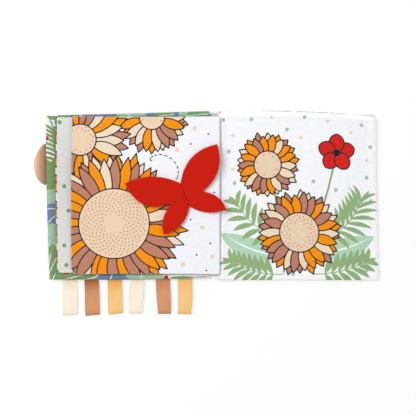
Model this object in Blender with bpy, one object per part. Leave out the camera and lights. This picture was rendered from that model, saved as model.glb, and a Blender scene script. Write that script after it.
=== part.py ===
"""A baby's crinkle cloth book, lying open at its last spread, seen as it lies on a table.

The spine runs along Y with its underside on the table and its middle, the gutter, at the origin.
The front cover and two leaves lie to the left, along -X, and the back cover to the right.
Each sewn panel is made from rings of its outline: a profile says how far in each ring lies and how high.
"""

import math

import bmesh
import bpy
from mathutils import Matrix, Vector

# Cloth, film and felt
CLEARANCE = 0.0003
FABRIC_THICKNESS = 0.0005
FILM_THICKNESS = 0.0002
FELT_THICKNESS = 0.0015

# Spine: two layers of cloth under the gutter
SPINE_WIDTH = 0.0165
SPINE_TOP = 0.0875
SPINE_BOTTOM = 0.0848
SPINE_CORNER = 0.0015
BINDING_WIDTH = 0.0028
BINDING_END_INSET = 0.004

# Front cover: padded, with the outer print folded over onto the inside as a border
FRONT_COVER_WIDTH = 0.1700
FRONT_COVER_LEAN = 0.0041
FRONT_COVER_TOP_OUTER = 0.0824
FRONT_COVER_TOP_INNER = 0.0880
FRONT_COVER_BOTTOM_OUTER = 0.0854
FRONT_COVER_BOTTOM_INNER = 0.0844
FRONT_COVER_CORNER = 0.0040
FRONT_WADDING_THICKNESS = 0.0026
FRONT_EDGE_ROLL = 0.0022
BORDER_WIDTH = 0.0092

# Leaf 1 and leaf 2: two printed sheets with crackling film between them; each margin is what the
# sheet leaves bare of the one below it
LEAF_1_MARGIN = 0.0111
LEAF_1_TOP = 0.0812
LEAF_1_BOTTOM = 0.0786
LEAF_1_CORNER = 0.0045
LEAF_2_MARGIN = 0.01485
LEAF_2_TOP = 0.0822
LEAF_2_BOTTOM = 0.0800
LEAF_2_CORNER = 0.0020
LEAF_2_SOFT_CORNER = 0.0070
LEAF_SEAM = 0.0030
LEAF_EDGE_ROLL = 0.0004

# Back cover: padded and crowned, its inside is the right-hand page
BACK_COVER_WIDTH = 0.1623
BACK_COVER_TOP_INNER = 0.0868
BACK_COVER_TOP_OUTER = 0.0819
BACK_COVER_BOTTOM = 0.0863
BACK_COVER_CORNER = 0.0042
BACK_WADDING_THICKNESS = 0.0012
BACK_EDGE_ROLL = 0.0016
BACK_CROWN = 0.0014
BACK_CROWN_REACH = 0.0300

# Sides of every panel are drawn in a little between the corners
DRAW_IN = 0.0006

# Felt butterfly, sewn to leaf 2 along its body: middle of the seam, size, and lift of the wings
BUTTERFLY_X = -0.0354
BUTTERFLY_Y = 0.0016
BUTTERFLY_SPAN = 0.1030
SEAM_STRIP_WIDTH = 0.0042
SEAM_STRIP_THICKNESS = 0.0005
CREASE_GAP = 0.0005
LEFT_WING_LIFT_DEG = 4.0
RIGHT_WING_LIFT_DEG = 2.0

# Plush ear on the cover's left side
EAR_REACH = 0.0136
EAR_HALF_HEIGHT = 0.0216
EAR_Y = 0.0332
EAR_FRONT_THICKNESS = 0.0038
EAR_BACK_THICKNESS = 0.0016
EAR_RIM_THICKNESS = 0.0004
EAR_FRONT_REACH = 0.0070
EAR_BACK_REACH = 0.0040
EAR_HINGE_OFFSET = 0.0015

# Satin ribbon tags: each a folded loop, sewn into the cover's bottom seam
RIBBON_WIDTH = 0.0150
RIBBON_DROP = 0.0355
RIBBON_THICKNESS = 0.0003
RIBBON_ROOT_GAP = 0.0004
RIBBON_LOOP_HEIGHT = 0.0015
RIBBON_HINGE_OFFSET = 0.0008

# Hinge lines of the leaves and the back cover stand up with the thickness of the pile
FRONT_HINGE_DROP = 0.0002
LEAF_2_HINGE_X = 0.0010
LEAF_2_HINGE_RISE = 0.0016
BACK_HINGE_X = 0.0040
BACK_HINGE_Z = 0.0092

# Shares: wing outlines as shares of the span, from the middle of the seam, and each side's bulge
SEAM_TOP_SHARE = (-0.046, 0.118)
SEAM_BOTTOM_SHARE = (0.045, -0.118)
LEFT_WINGS_SHARES = (
    ((-0.592, 0.114), 0.066),
    ((-0.131, -0.084), 0.120),
    ((-0.210, -0.395), 0.042),
    (SEAM_BOTTOM_SHARE, 0.062),
)
RIGHT_WINGS_SHARES = (
    ((0.410, -0.148), 0.044),
    ((0.171, 0.031), 0.047),
    ((0.317, 0.502), 0.088),
    (SEAM_TOP_SHARE, 0.093),
)
RIBBON_PLACE_SHARES = (0.856, 0.724, 0.583, 0.447, 0.292, 0.157)
RIBBON_SLANT_SHARES = (0.05, 0.11, 0.07, -0.11, 0.11, -0.02)
INNER_ROUNDING_SHARE = 0.3

# Counts
CORNER_STEPS = 5
SIDE_STEPS = 5
ROLL_STEPS = 4
CROWN_STEPS = 4
ARC_STEPS = 9
EAR_STEPS = 18
FOLD_STEPS = 6

# Heights that follow from the layers
SPINE_STACK = 2 * FABRIC_THICKNESS + CLEARANCE
SPINE_HALF = SPINE_WIDTH / 2
COVER_EDGE = SPINE_HALF + CLEARANCE
FRONT_COVER_THICKNESS = FRONT_WADDING_THICKNESS + 2 * (FABRIC_THICKNESS + CLEARANCE)
LEAF_THICKNESS = 2 * (FABRIC_THICKNESS + CLEARANCE) + FILM_THICKNESS
LEAF_1_BASE = FRONT_COVER_THICKNESS + CLEARANCE
LEAF_2_BASE = LEAF_1_BASE + LEAF_THICKNESS + CLEARANCE
LEAF_2_SURFACE = LEAF_2_BASE + LEAF_THICKNESS
BINDING_X = -SPINE_HALF + CLEARANCE
FRONT_COVER_X = -COVER_EDGE - FRONT_COVER_WIDTH
LEAF_1_X = FRONT_COVER_X + LEAF_1_MARGIN
LEAF_2_X = LEAF_1_X + LEAF_2_MARGIN
WING_BASE = LEAF_2_SURFACE + SEAM_STRIP_THICKNESS + 2 * CLEARANCE
WING_TOP = WING_BASE + FELT_THICKNESS
COVER_SEAM_Z = FRONT_COVER_THICKNESS / 2


def clear_scene():
    for thing in list(bpy.data.objects):
        bpy.data.objects.remove(thing, do_unlink=True)


def cloth_material(name, colour, roughness):
    material = bpy.data.materials.new(name)
    material.use_nodes = True
    shader = material.node_tree.nodes["Principled BSDF"]
    shader.inputs["Base Color"].default_value = (*colour, 1.0)
    shader.inputs["Roughness"].default_value = roughness
    return material


def corners(left, right, left_top, right_top, left_bottom, right_bottom, lean=0.0):
    """A panel's four corners, from the right top counter-clockwise."""
    return [
        Vector((right, right_top)),
        Vector((left, left_top)),
        Vector((left + lean, -left_bottom)),
        Vector((right, -right_bottom)),
    ]


def moved_in(points, distance):
    """The same corners with every side moved in by a distance."""
    found = []
    count = len(points)
    for i, point in enumerate(points):
        before = (point - points[i - 1]).normalized()
        after = (points[(i + 1) % count] - point).normalized()
        inward = Vector((-before.y, before.x)) + Vector((-after.y, after.x))
        half = inward.normalized().dot(Vector((-after.y, after.x)))
        found.append(point + inward.normalized() * distance / half)
    return found


def rounded(points, radii, draw_in):
    """A closed outline with rounded corners and sides drawn in between them."""
    ring = []
    count = len(points)
    ends = []
    for i, point in enumerate(points):
        before = (point - points[i - 1]).normalized()
        after = (points[(i + 1) % count] - point).normalized()
        half_turn = before.angle(after) / 2
        cut = radii[i] * math.tan(half_turn)
        centre = point - before * cut + Vector((-before.y, before.x)) * radii[i]
        start = math.atan2(-before.x, before.y)
        arc = []
        for step in range(CORNER_STEPS + 1):
            angle = start + 2 * half_turn * step / CORNER_STEPS
            arc.append(centre + radii[i] * Vector((math.cos(angle), math.sin(angle))))
        ends.append(arc)
    for i, arc in enumerate(ends):
        ring += arc
        here = arc[-1]
        there = ends[(i + 1) % count][0]
        side = there - here
        inward = Vector((-side.y, side.x)).normalized()
        for step in range(1, SIDE_STEPS):
            share = step / SIDE_STEPS
            sag = 4 * share * (1 - share) * draw_in
            ring.append(here + side * share + inward * sag)
    return ring


def panel_rings(points, radii, draw_in=DRAW_IN):
    """A function that gives a panel's outline at any distance in from its edge."""

    def ring(inset):
        smaller = [max(r - inset, r * INNER_ROUNDING_SHARE) for r in radii]
        return rounded(moved_in(points, inset), smaller, draw_in)

    return ring


def rolled_edge(low, high, roll, first=0, last=2 * ROLL_STEPS):
    """Profile points round an edge, from its underside out and over to its top."""
    middle = (low + high) / 2
    half = (high - low) / 2
    profile = []
    for step in range(first, last + 1):
        angle = -math.pi / 2 + math.pi * step / (2 * ROLL_STEPS)
        profile.append((roll - roll * math.cos(angle), middle + half * math.sin(angle)))
    return profile


def crown(edge_inset, edge_height, rise, reach):
    """Profile points that climb from an edge to the flat middle of a crowned panel."""
    profile = []
    for step in range(1, CROWN_STEPS + 1):
        share = step / CROWN_STEPS
        climb = rise * (1 - (1 - share) ** 2)
        profile.append((edge_inset + reach * share, edge_height + climb))
    return profile


def shifted(profile, inwards, upwards):
    """A profile moved in from the edge and up."""
    return [(inset + inwards, height + upwards) for inset, height in profile]


def solid(name, vertices, faces, colour, roughness, hinge=None):
    """A closed mesh object with its own material, held by its hinge's empty."""
    mesh = bpy.data.meshes.new(name)
    mesh.from_pydata(vertices, [], faces)
    working = bmesh.new()
    working.from_mesh(mesh)
    bmesh.ops.recalc_face_normals(working, faces=working.faces)
    working.to_mesh(mesh)
    working.free()
    mesh.materials.append(cloth_material(name, colour, roughness))
    item = bpy.data.objects.new(name, mesh)
    bpy.context.collection.objects.link(item)
    if hinge:
        item.parent = hinge
        item.location = -world_place(hinge)
    return item


def sewn_panel(name, ring, profile, colour, roughness, hinge=None):
    """A closed solid from rings of one outline; its first and last rings are capped."""
    vertices = []
    for inset, height in profile:
        vertices += [(point.x, point.y, height) for point in ring(inset)]
    count = len(vertices) // len(profile)
    faces = [list(range(count)), list(range(len(vertices) - count, len(vertices)))]
    for level in range(len(profile) - 1):
        for i in range(count):
            j = (i + 1) % count
            low = level * count
            high = low + count
            faces.append([low + i, low + j, high + j, high + i])
    return solid(name, vertices, faces, colour, roughness, hinge)


def extruded(name, outline, along, colour, roughness, hinge=None, turn=None):
    """A closed solid from a flat outline of 3-D points, drawn along a vector and perhaps turned."""
    count = len(outline)
    vertices = list(outline) + [point + along for point in outline]
    if turn:
        vertices = [turn @ point for point in vertices]
    faces = [list(range(count)), list(range(count, 2 * count))]
    for i in range(count):
        j = (i + 1) % count
        faces.append([i, j, count + j, count + i])
    return solid(name, vertices, faces, colour, roughness, hinge)


def hinge_empty(name, place, parent=None):
    """An empty on a hinge's axis, which carries what that hinge moves."""
    empty = bpy.data.objects.new(name, None)
    empty.empty_display_type = "ARROWS"
    empty.empty_display_size = SPINE_WIDTH
    bpy.context.collection.objects.link(empty)
    if parent:
        empty.parent = parent
        place = place - world_place(parent)
    empty.location = place
    return empty


def world_place(empty):
    """Where a chain of unturned empties puts its last one."""
    place = Vector(empty.location)
    while empty.parent:
        empty = empty.parent
        place += empty.location
    return place


def make_spine():
    """Two strips of cloth that join the covers, and the tape that binds leaf 1 to them."""
    outline = corners(-SPINE_HALF, SPINE_HALF, SPINE_TOP, SPINE_TOP, SPINE_BOTTOM, SPINE_BOTTOM)
    ring = panel_rings(outline, [SPINE_CORNER] * 4, 0)
    sewn_panel("spine_outer", ring, [(0, 0), (0, FABRIC_THICKNESS)], (0.35, 0.55, 0.36), 0.85)
    outline = corners(-SPINE_HALF, 0, SPINE_TOP, SPINE_TOP, SPINE_BOTTOM, SPINE_BOTTOM)
    ring = panel_rings(outline, [SPINE_CORNER] * 4, 0)
    low = FABRIC_THICKNESS + CLEARANCE
    sewn_panel("spine_lining", ring, [(0, low), (0, SPINE_STACK)], (0.90, 0.91, 0.93), 0.85)
    tape = corners(
        BINDING_X,
        BINDING_X + BINDING_WIDTH,
        LEAF_1_TOP - BINDING_END_INSET,
        LEAF_1_TOP - BINDING_END_INSET,
        LEAF_1_BOTTOM - BINDING_END_INSET,
        LEAF_1_BOTTOM - BINDING_END_INSET,
    )
    ring = panel_rings(tape, [BINDING_WIDTH * INNER_ROUNDING_SHARE] * 4, 0)
    profile = [(0, SPINE_STACK + CLEARANCE), (0, LEAF_1_BASE - CLEARANCE)]
    sewn_panel("leaf_binding", ring, profile, (0.88, 0.88, 0.86), 0.9)


def front_cover_corners():
    return corners(
        FRONT_COVER_X,
        -COVER_EDGE,
        FRONT_COVER_TOP_OUTER,
        FRONT_COVER_TOP_INNER,
        FRONT_COVER_BOTTOM_OUTER,
        FRONT_COVER_BOTTOM_INNER,
        FRONT_COVER_LEAN,
    )


def make_front_cover(hinge):
    """Outer print as a tray with a folded-in border, wadding inside it, and a striped lining."""
    ring = panel_rings(front_cover_corners(), [FRONT_COVER_CORNER] * 4)
    top = FRONT_COVER_THICKNESS
    skin = FABRIC_THICKNESS
    outside = rolled_edge(0, top, FRONT_EDGE_ROLL)
    inside = shifted(rolled_edge(skin, top - skin, FRONT_EDGE_ROLL), skin, 0)
    tray = outside + [(BORDER_WIDTH, top), (BORDER_WIDTH, top - skin)] + inside[::-1]
    sewn_panel("front_cover_outer", ring, tray, (0.30, 0.52, 0.32), 0.85, hinge)
    low = skin + CLEARANCE
    filling = shifted(rolled_edge(low, top - low, FRONT_EDGE_ROLL), low, 0)
    sewn_panel("front_cover_wadding", ring, filling, (0.93, 0.93, 0.91), 0.95, hinge)
    window = BORDER_WIDTH + CLEARANCE
    lining = [(window, top - skin), (window, top)]
    sewn_panel("front_cover_lining", ring, lining, (0.80, 0.42, 0.12), 0.85, hinge)


def make_leaf(name, outline, radii, base, front_colour, back_colour, hinge=None):
    """Back sheet, crackling film and front sheet, whose seam reaches down to the back sheet."""
    ring = panel_rings(outline, radii)
    skin = FABRIC_THICKNESS
    back_top = base + skin
    back = [(0, base), (0, back_top)]
    sewn_panel(name + "_back_sheet", ring, back, back_colour, 0.85, hinge)
    film_low = back_top + CLEARANCE
    film_inset = LEAF_SEAM + CLEARANCE
    film = [(film_inset, film_low), (film_inset, film_low + FILM_THICKNESS)]
    sewn_panel(name + "_crinkle_film", ring, film, (0.85, 0.87, 0.90), 0.25, hinge)
    top = base + LEAF_THICKNESS
    ceiling = top - skin
    front = [
        (LEAF_SEAM, ceiling),
        (LEAF_SEAM, film_low),
        (0, film_low),
        (0, top - LEAF_EDGE_ROLL),
        (LEAF_EDGE_ROLL, top),
    ]
    sewn_panel(name + "_front_sheet", ring, front, front_colour, 0.85, hinge)


def make_leaf_1():
    inner = BINDING_X + BINDING_WIDTH
    outline = corners(LEAF_1_X, inner, LEAF_1_TOP, LEAF_1_TOP, LEAF_1_BOTTOM, LEAF_1_BOTTOM)
    radii = [LEAF_2_CORNER, LEAF_2_CORNER, LEAF_1_CORNER, LEAF_2_CORNER]
    make_leaf("leaf_1", outline, radii, LEAF_1_BASE, (0.90, 0.91, 0.92), (0.90, 0.91, 0.92))


def make_leaf_2(hinge):
    outline = corners(LEAF_2_X, 0, LEAF_2_TOP, LEAF_2_TOP, LEAF_2_BOTTOM, LEAF_2_BOTTOM)
    radii = [LEAF_2_CORNER, LEAF_2_CORNER, LEAF_2_SOFT_CORNER, LEAF_2_CORNER]
    sheets = ((0.92, 0.60, 0.25), (0.90, 0.91, 0.92))
    make_leaf("leaf_2", outline, radii, LEAF_2_BASE, *sheets, hinge)


def make_back_cover(hinge):
    """Outer print as a shallow tray, film and wadding, and a crowned page that folds over the edge."""
    skin = FABRIC_THICKNESS
    heights = (
        BACK_COVER_TOP_INNER,
        BACK_COVER_TOP_OUTER,
        BACK_COVER_BOTTOM,
        BACK_COVER_BOTTOM,
    )
    outline = corners(COVER_EDGE, BACK_COVER_WIDTH + CLEARANCE, *heights)
    ring = panel_rings(outline, [BACK_COVER_CORNER] * 4)
    rim = SPINE_STACK
    tray = [
        (BACK_EDGE_ROLL, 0),
        (BACK_EDGE_ROLL * INNER_ROUNDING_SHARE, rim * INNER_ROUNDING_SHARE),
        (0, rim),
        (skin, rim),
        (skin + BACK_EDGE_ROLL * INNER_ROUNDING_SHARE, skin + rim * INNER_ROUNDING_SHARE),
        (skin + BACK_EDGE_ROLL, skin),
    ]
    sewn_panel("back_cover_outer", ring, tray, (0.30, 0.52, 0.32), 0.85, hinge)
    film_low = skin + CLEARANCE
    film_inset = skin + BACK_EDGE_ROLL + CLEARANCE
    film = [(film_inset, film_low), (film_inset, film_low + FILM_THICKNESS)]
    sewn_panel("back_cover_crinkle_film", ring, film, (0.85, 0.87, 0.90), 0.25, hinge)

    page = corners(CLEARANCE, BACK_COVER_WIDTH + CLEARANCE, *heights)
    ring = panel_rings(page, [BACK_COVER_CORNER] * 4)
    low = SPINE_STACK + CLEARANCE
    filling_top = low + BACK_WADDING_THICKNESS
    filling = rolled_edge(low, filling_top, BACK_EDGE_ROLL)
    filling += crown(BACK_EDGE_ROLL, filling_top, BACK_CROWN, BACK_CROWN_REACH)
    inner = skin + CLEARANCE
    sewn_panel(
        "back_cover_wadding", ring, shifted(filling, inner, 0), (0.93, 0.93, 0.91), 0.95, hinge
    )
    rolled = rolled_edge(low, filling_top, BACK_EDGE_ROLL, ROLL_STEPS)
    rolled += crown(BACK_EDGE_ROLL, filling_top, BACK_CROWN, BACK_CROWN_REACH)
    outside = [(0, low)] + shifted(rolled, 0, inner)
    inside = [(skin, low)] + shifted(rolled, skin, CLEARANCE)
    sewn_panel(
        "back_cover_page", ring, inside[::-1] + outside, (0.92, 0.93, 0.95), 0.85, hinge
    )


def from_shares(share):
    """A point of the butterfly from its shares of the span."""
    return Vector((BUTTERFLY_X, BUTTERFLY_Y)) + BUTTERFLY_SPAN * Vector(share)


def bulged(start, end, bulge):
    """Points after the start on an arc that bulges to the right of the line to the end."""
    chord = end - start
    outward = Vector((chord.y, -chord.x)).normalized()
    found = []
    for step in range(1, ARC_STEPS + 1):
        share = step / ARC_STEPS
        found.append(start + chord * share + outward * bulge * 4 * share * (1 - share))
    return found


def seam_frame():
    """The crease's top and bottom points and the direction across it, to the right."""
    top = from_shares(SEAM_TOP_SHARE)
    bottom = from_shares(SEAM_BOTTOM_SHARE)
    along = (top - bottom).normalized()
    return top, bottom, Vector((along.y, -along.x))


def make_wings(name, start, shares, side, lift, hinge):
    """Two petals of felt on one side of the crease, lifted about the crease's top line."""
    top, bottom, across = seam_frame()
    shift = across * side * CREASE_GAP / 2
    outline = [start + shift]
    here = start
    for share, bulge in shares:
        there = from_shares(share)
        for point in bulged(here, there, bulge * BUTTERFLY_SPAN):
            outline.append(point + shift)
        here = there
    pivot = Vector((top.x, top.y, WING_TOP))
    axis = Vector((bottom.x - top.x, bottom.y - top.y, 0)).normalized()
    turn = Matrix.Rotation(side * math.radians(lift), 4, axis)
    turn = Matrix.Translation(pivot) @ turn @ Matrix.Translation(-pivot)
    flat = [Vector((point.x, point.y, WING_BASE)) for point in outline]
    along = Vector((0, 0, FELT_THICKNESS))
    extruded(name, flat, along, (0.62, 0.02, 0.01), 0.9, hinge, turn)


def make_butterfly(leaf_hinge, left_hinge, right_hinge):
    """A strip of felt sewn to the page, and two pairs of wings that lift from it."""
    top, bottom, across = seam_frame()
    half = across * SEAM_STRIP_WIDTH / 2
    low = LEAF_2_SURFACE + CLEARANCE
    flat = [top + half, top - half, bottom - half, bottom + half]
    flat = [Vector((point.x, point.y, low)) for point in flat]
    along = Vector((0, 0, SEAM_STRIP_THICKNESS))
    extruded("butterfly_body", flat, along, (0.55, 0.02, 0.01), 0.9, leaf_hinge)
    left = ("butterfly_left_wings", top, LEFT_WINGS_SHARES, -1, LEFT_WING_LIFT_DEG)
    make_wings(*left, left_hinge)
    right = ("butterfly_right_wings", bottom, RIGHT_WINGS_SHARES, 1, RIGHT_WING_LIFT_DEG)
    make_wings(*right, right_hinge)


def ear_seam():
    """The point on the cover's left edge that the ear hangs from, and the edge's direction."""
    outer_top, outer_bottom = front_cover_corners()[1:3]
    side = outer_top - outer_bottom
    share = (EAR_Y - outer_bottom.y) / side.y
    return outer_bottom + side * share, side.normalized()


def make_ear(hinge):
    """A half-round ear in two plush layers, the upper one fuller."""
    seam, along = ear_seam()
    outward = Vector((-along.y, along.x))

    def ring(inset):
        reach = EAR_REACH - inset
        half = EAR_HALF_HEIGHT - inset
        found = []
        for step in range(EAR_STEPS + 1):
            angle = math.pi * step / EAR_STEPS
            out = CLEARANCE + inset + (reach - inset) * math.sin(angle)
            found.append(seam + outward * out + along * half * math.cos(angle))
        return found

    rim = EAR_RIM_THICKNESS
    low = COVER_SEAM_Z - CLEARANCE / 2
    back = [(0, low), (0, low - rim)]
    back += crown(0, low - rim, rim - EAR_BACK_THICKNESS, EAR_BACK_REACH)
    sewn_panel("ear_back", ring, back, (0.50, 0.30, 0.20), 0.95, hinge)
    high = COVER_SEAM_Z + CLEARANCE / 2
    front = [(0, high), (0, high + rim)]
    front += crown(0, high + rim, EAR_FRONT_THICKNESS - rim, EAR_FRONT_REACH)
    sewn_panel("ear_front", ring, front, (0.62, 0.38, 0.26), 0.95, hinge)


def cover_bottom_at(x):
    """Height on the page of the cover's drawn-in bottom edge at a place along it."""
    left, right = front_cover_corners()[2:4]
    share = (x - left.x) / (right.x - left.x)
    return left.y + (right.y - left.y) * share + DRAW_IN


def ribbon_place(number):
    """The middle of a ribbon's hinge line, in the cover's bottom seam."""
    x = -COVER_EDGE - RIBBON_PLACE_SHARES[number] * FRONT_COVER_WIDTH
    return Vector((x, cover_bottom_at(x) - DRAW_IN - RIBBON_HINGE_OFFSET, COVER_SEAM_Z))


def ribbon_heights(share):
    """Heights of the loop's middle line and of half the loop, from its root to its fold."""
    lying = RIBBON_LOOP_HEIGHT / 2 + CLEARANCE
    middle = COVER_SEAM_Z + (lying - COVER_SEAM_Z) * math.sin(share * math.pi / 2)
    half = (RIBBON_ROOT_GAP + (RIBBON_LOOP_HEIGHT - RIBBON_ROOT_GAP) * share) / 2
    return middle, half


def make_ribbon(number, colour, hinge):
    """One folded ribbon: its cross-section is a hairpin, drawn across the ribbon's width."""
    place = ribbon_place(number)
    start = place.y + RIBBON_HINGE_OFFSET - CLEARANCE
    length = RIBBON_DROP - RIBBON_HINGE_OFFSET
    upper = []
    lower = []
    for step in range(FOLD_STEPS + 1):
        share = step / FOLD_STEPS
        middle, half = ribbon_heights(share)
        y = start - length * share
        upper.append(Vector((0, y, middle + half)))
        lower.append(Vector((0, y, middle - half)))
    skin = Vector((0, 0, RIBBON_THICKNESS / 2))
    middle, half = ribbon_heights(1)
    round_end = []
    round_inner = []
    for step in range(1, FOLD_STEPS):
        angle = math.pi / 2 - math.pi * step / FOLD_STEPS
        out = half + RIBBON_THICKNESS / 2
        near = half - RIBBON_THICKNESS / 2
        end = Vector((0, start - length, middle))
        turned = Vector((0, -math.cos(angle), math.sin(angle)))
        round_end.append(end + turned * out)
        round_inner.append(end + turned * near)
    outer = [point + skin for point in upper] + round_end
    outer += [point - skin for point in reversed(lower)]
    inner = [point + skin for point in lower] + round_inner[::-1]
    inner += [point - skin for point in reversed(upper)]
    outline = []
    slant = RIBBON_SLANT_SHARES[number] * RIBBON_WIDTH
    left = place.x - RIBBON_WIDTH / 2
    for point in outer + inner:
        share = (start - point.y) / length
        outline.append(Vector((left + slant * share, point.y, point.z)))
    along = Vector((RIBBON_WIDTH, 0, 0))
    extruded(f"ribbon_{number + 1}", outline, along, colour, 0.35, hinge)


def build():
    clear_scene()
    front_hinge = hinge_empty("front_cover_hinge", Vector((-COVER_EDGE, 0, -FRONT_HINGE_DROP)))
    leaf_place = Vector((LEAF_2_HINGE_X, 0, LEAF_2_SURFACE + LEAF_2_HINGE_RISE))
    leaf_hinge = hinge_empty("leaf_2_hinge", leaf_place)
    back_hinge = hinge_empty("back_cover_hinge", Vector((BACK_HINGE_X, 0, BACK_HINGE_Z)))
    crease = Vector((BUTTERFLY_X, BUTTERFLY_Y, WING_TOP))
    left_hinge = hinge_empty("left_wings_hinge", crease, leaf_hinge)
    right_hinge = hinge_empty("right_wings_hinge", crease, leaf_hinge)
    seam, along = ear_seam()
    outward = Vector((-along.y, along.x)) * EAR_HINGE_OFFSET
    ear_place = Vector((seam.x + outward.x, seam.y + outward.y, COVER_SEAM_Z))
    ear_hinge = hinge_empty("ear_hinge", ear_place, front_hinge)

    make_spine()
    make_front_cover(front_hinge)
    make_leaf_1()
    make_leaf_2(leaf_hinge)
    make_back_cover(back_hinge)
    make_butterfly(leaf_hinge, left_hinge, right_hinge)
    make_ear(ear_hinge)
    cream = (0.92, 0.82, 0.66)
    brown = (0.63, 0.27, 0.12)
    gold = (0.89, 0.55, 0.20)
    for number, colour in enumerate((cream, brown, gold, cream, brown, gold)):
        hinge = hinge_empty(f"ribbon_{number + 1}_hinge", ribbon_place(number), front_hinge)
        make_ribbon(number, colour, hinge)


build()
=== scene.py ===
# %% [markdown]
# # A baby's crinkle cloth book
# The book lies open at its last spread. Two padded covers carry two crackling leaves, a red felt
# butterfly is sewn to the left page, six satin ribbon tags hang from the lower edge, and a plush
# ear peeks out at the left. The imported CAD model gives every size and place. This script dresses
# it: each soft solid is replaced by cut, printed and folded cloth.

# %% Load the frame
import math
import random

import bpy
import numpy as np
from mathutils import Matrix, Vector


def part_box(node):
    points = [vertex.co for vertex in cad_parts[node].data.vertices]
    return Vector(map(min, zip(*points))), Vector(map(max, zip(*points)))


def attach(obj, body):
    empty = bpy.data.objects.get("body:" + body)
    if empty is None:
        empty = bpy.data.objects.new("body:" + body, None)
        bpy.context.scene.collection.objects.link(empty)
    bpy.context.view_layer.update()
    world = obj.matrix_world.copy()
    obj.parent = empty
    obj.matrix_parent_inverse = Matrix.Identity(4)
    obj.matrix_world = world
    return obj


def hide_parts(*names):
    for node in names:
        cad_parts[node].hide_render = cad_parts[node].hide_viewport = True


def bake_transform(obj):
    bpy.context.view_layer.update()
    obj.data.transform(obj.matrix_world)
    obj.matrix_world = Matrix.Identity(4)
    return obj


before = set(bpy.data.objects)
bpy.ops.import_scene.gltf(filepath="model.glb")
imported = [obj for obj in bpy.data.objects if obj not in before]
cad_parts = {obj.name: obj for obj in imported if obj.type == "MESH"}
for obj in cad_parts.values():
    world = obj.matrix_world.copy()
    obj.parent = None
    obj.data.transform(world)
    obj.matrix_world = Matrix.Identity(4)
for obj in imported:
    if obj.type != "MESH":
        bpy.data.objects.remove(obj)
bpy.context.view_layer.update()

MM = 0.001

# %% [markdown]
# ## Working by hand, in code
# Blender's operators act on what is selected, and the loaded frame is selected. So everything is
# deselected first, and one piece is made active before each operator. The corners of a mesh are
# read and written in one go as a numpy array, which is far quicker than one corner at a time.

# %% Small tools


def pick(piece):
    bpy.ops.object.select_all(action="DESELECT")
    piece.select_set(True)
    bpy.context.view_layer.objects.active = piece


def start_piece(name, operator, **settings):
    """Adds one of Blender's primitive meshes and names it."""
    bpy.ops.object.select_all(action="DESELECT")
    operator(**settings)
    piece = bpy.context.object
    piece.name = name
    return piece


def edit_all(piece, operator, **settings):
    """Runs a mesh operator on the whole of a piece."""
    pick(piece)
    bpy.ops.object.mode_set(mode="EDIT")
    bpy.ops.mesh.select_all(action="SELECT")
    operator(**settings)
    bpy.ops.object.mode_set(mode="OBJECT")


def apply_modifier(piece, kind, **settings):
    pick(piece)
    bpy.ops.object.modifier_add(type=kind)
    modifier = piece.modifiers[-1]
    for key, value in settings.items():
        setattr(modifier, key, value)
    bpy.ops.object.modifier_apply(modifier=modifier.name)


def points_of(piece):
    points = np.zeros(len(piece.data.vertices) * 3)
    piece.data.vertices.foreach_get("co", points)
    return points.reshape(-1, 3)


def put_points(piece, points):
    piece.data.vertices.foreach_set("co", np.asarray(points, float).ravel())
    piece.data.update()


def keep_number(piece, name, values):
    """Stores a number on each point, for a material to read."""
    stored = piece.data.attributes.new(name, "FLOAT", "POINT")
    stored.data.foreach_set("value", values.astype(np.float32))


def smooth(piece, degrees=50):
    pick(piece)
    bpy.ops.object.shade_smooth_by_angle(angle=math.radians(degrees))


def ease(share):
    """0 before 0, 1 after 1, and a soft climb between them."""
    share = np.clip(share, 0, 1)
    return share * share * (3 - 2 * share)


def tell(*pieces):
    print({piece.name: len(piece.data.vertices) for piece in pieces}, "points")


# %% [markdown]
# ## Cutting and folding cloth
# A sewn panel starts as a flat cut with a margin all round. The margin is then turned over the
# panel's edge. So each panel is made the same way here: a grid is added at the cut's size, and a
# function lays every point of the flat cut on the panel. It could be lofted from rings, but a grid
# keeps the cut's own coordinates, and the print and the weave need those.

# %% Laying a flat cut on its panel

CLOTH = 0.5 * MM
TIGHT_SHARE = 0.15  # how much of a corner's radius is left where a hem turns in under it
DRAW_IN = np.full(4, -0.6 * MM)  # how far each side bows out: bottom, right, top, left
LAYS = {}  # each cloth's lay function and size, which its stitches follow


def roll_over(edge, roll, start, end, turn_share=1.0):
    """Cloth that turns over an edge from one height to another: how far in it lies, how high, and
    how much runs on past the turn. `edge` is the distance along the cloth from the panel's edge."""
    arc = math.pi * (roll + abs(end - start) / 2) / 2
    turn = np.clip((roll - edge) / arc, 0, turn_share) * math.pi
    inset = np.where(edge > roll, edge, roll - roll * np.sin(turn))
    height = start + (end - start) * (1 - np.cos(turn)) / 2
    return inset, height, np.maximum(roll - edge - turn_share * arc, 0)


def flat_profile(level):
    """The profile of cloth that lies flat at one height."""
    return lambda edge, flat: (edge, np.full(len(edge), level))


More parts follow.
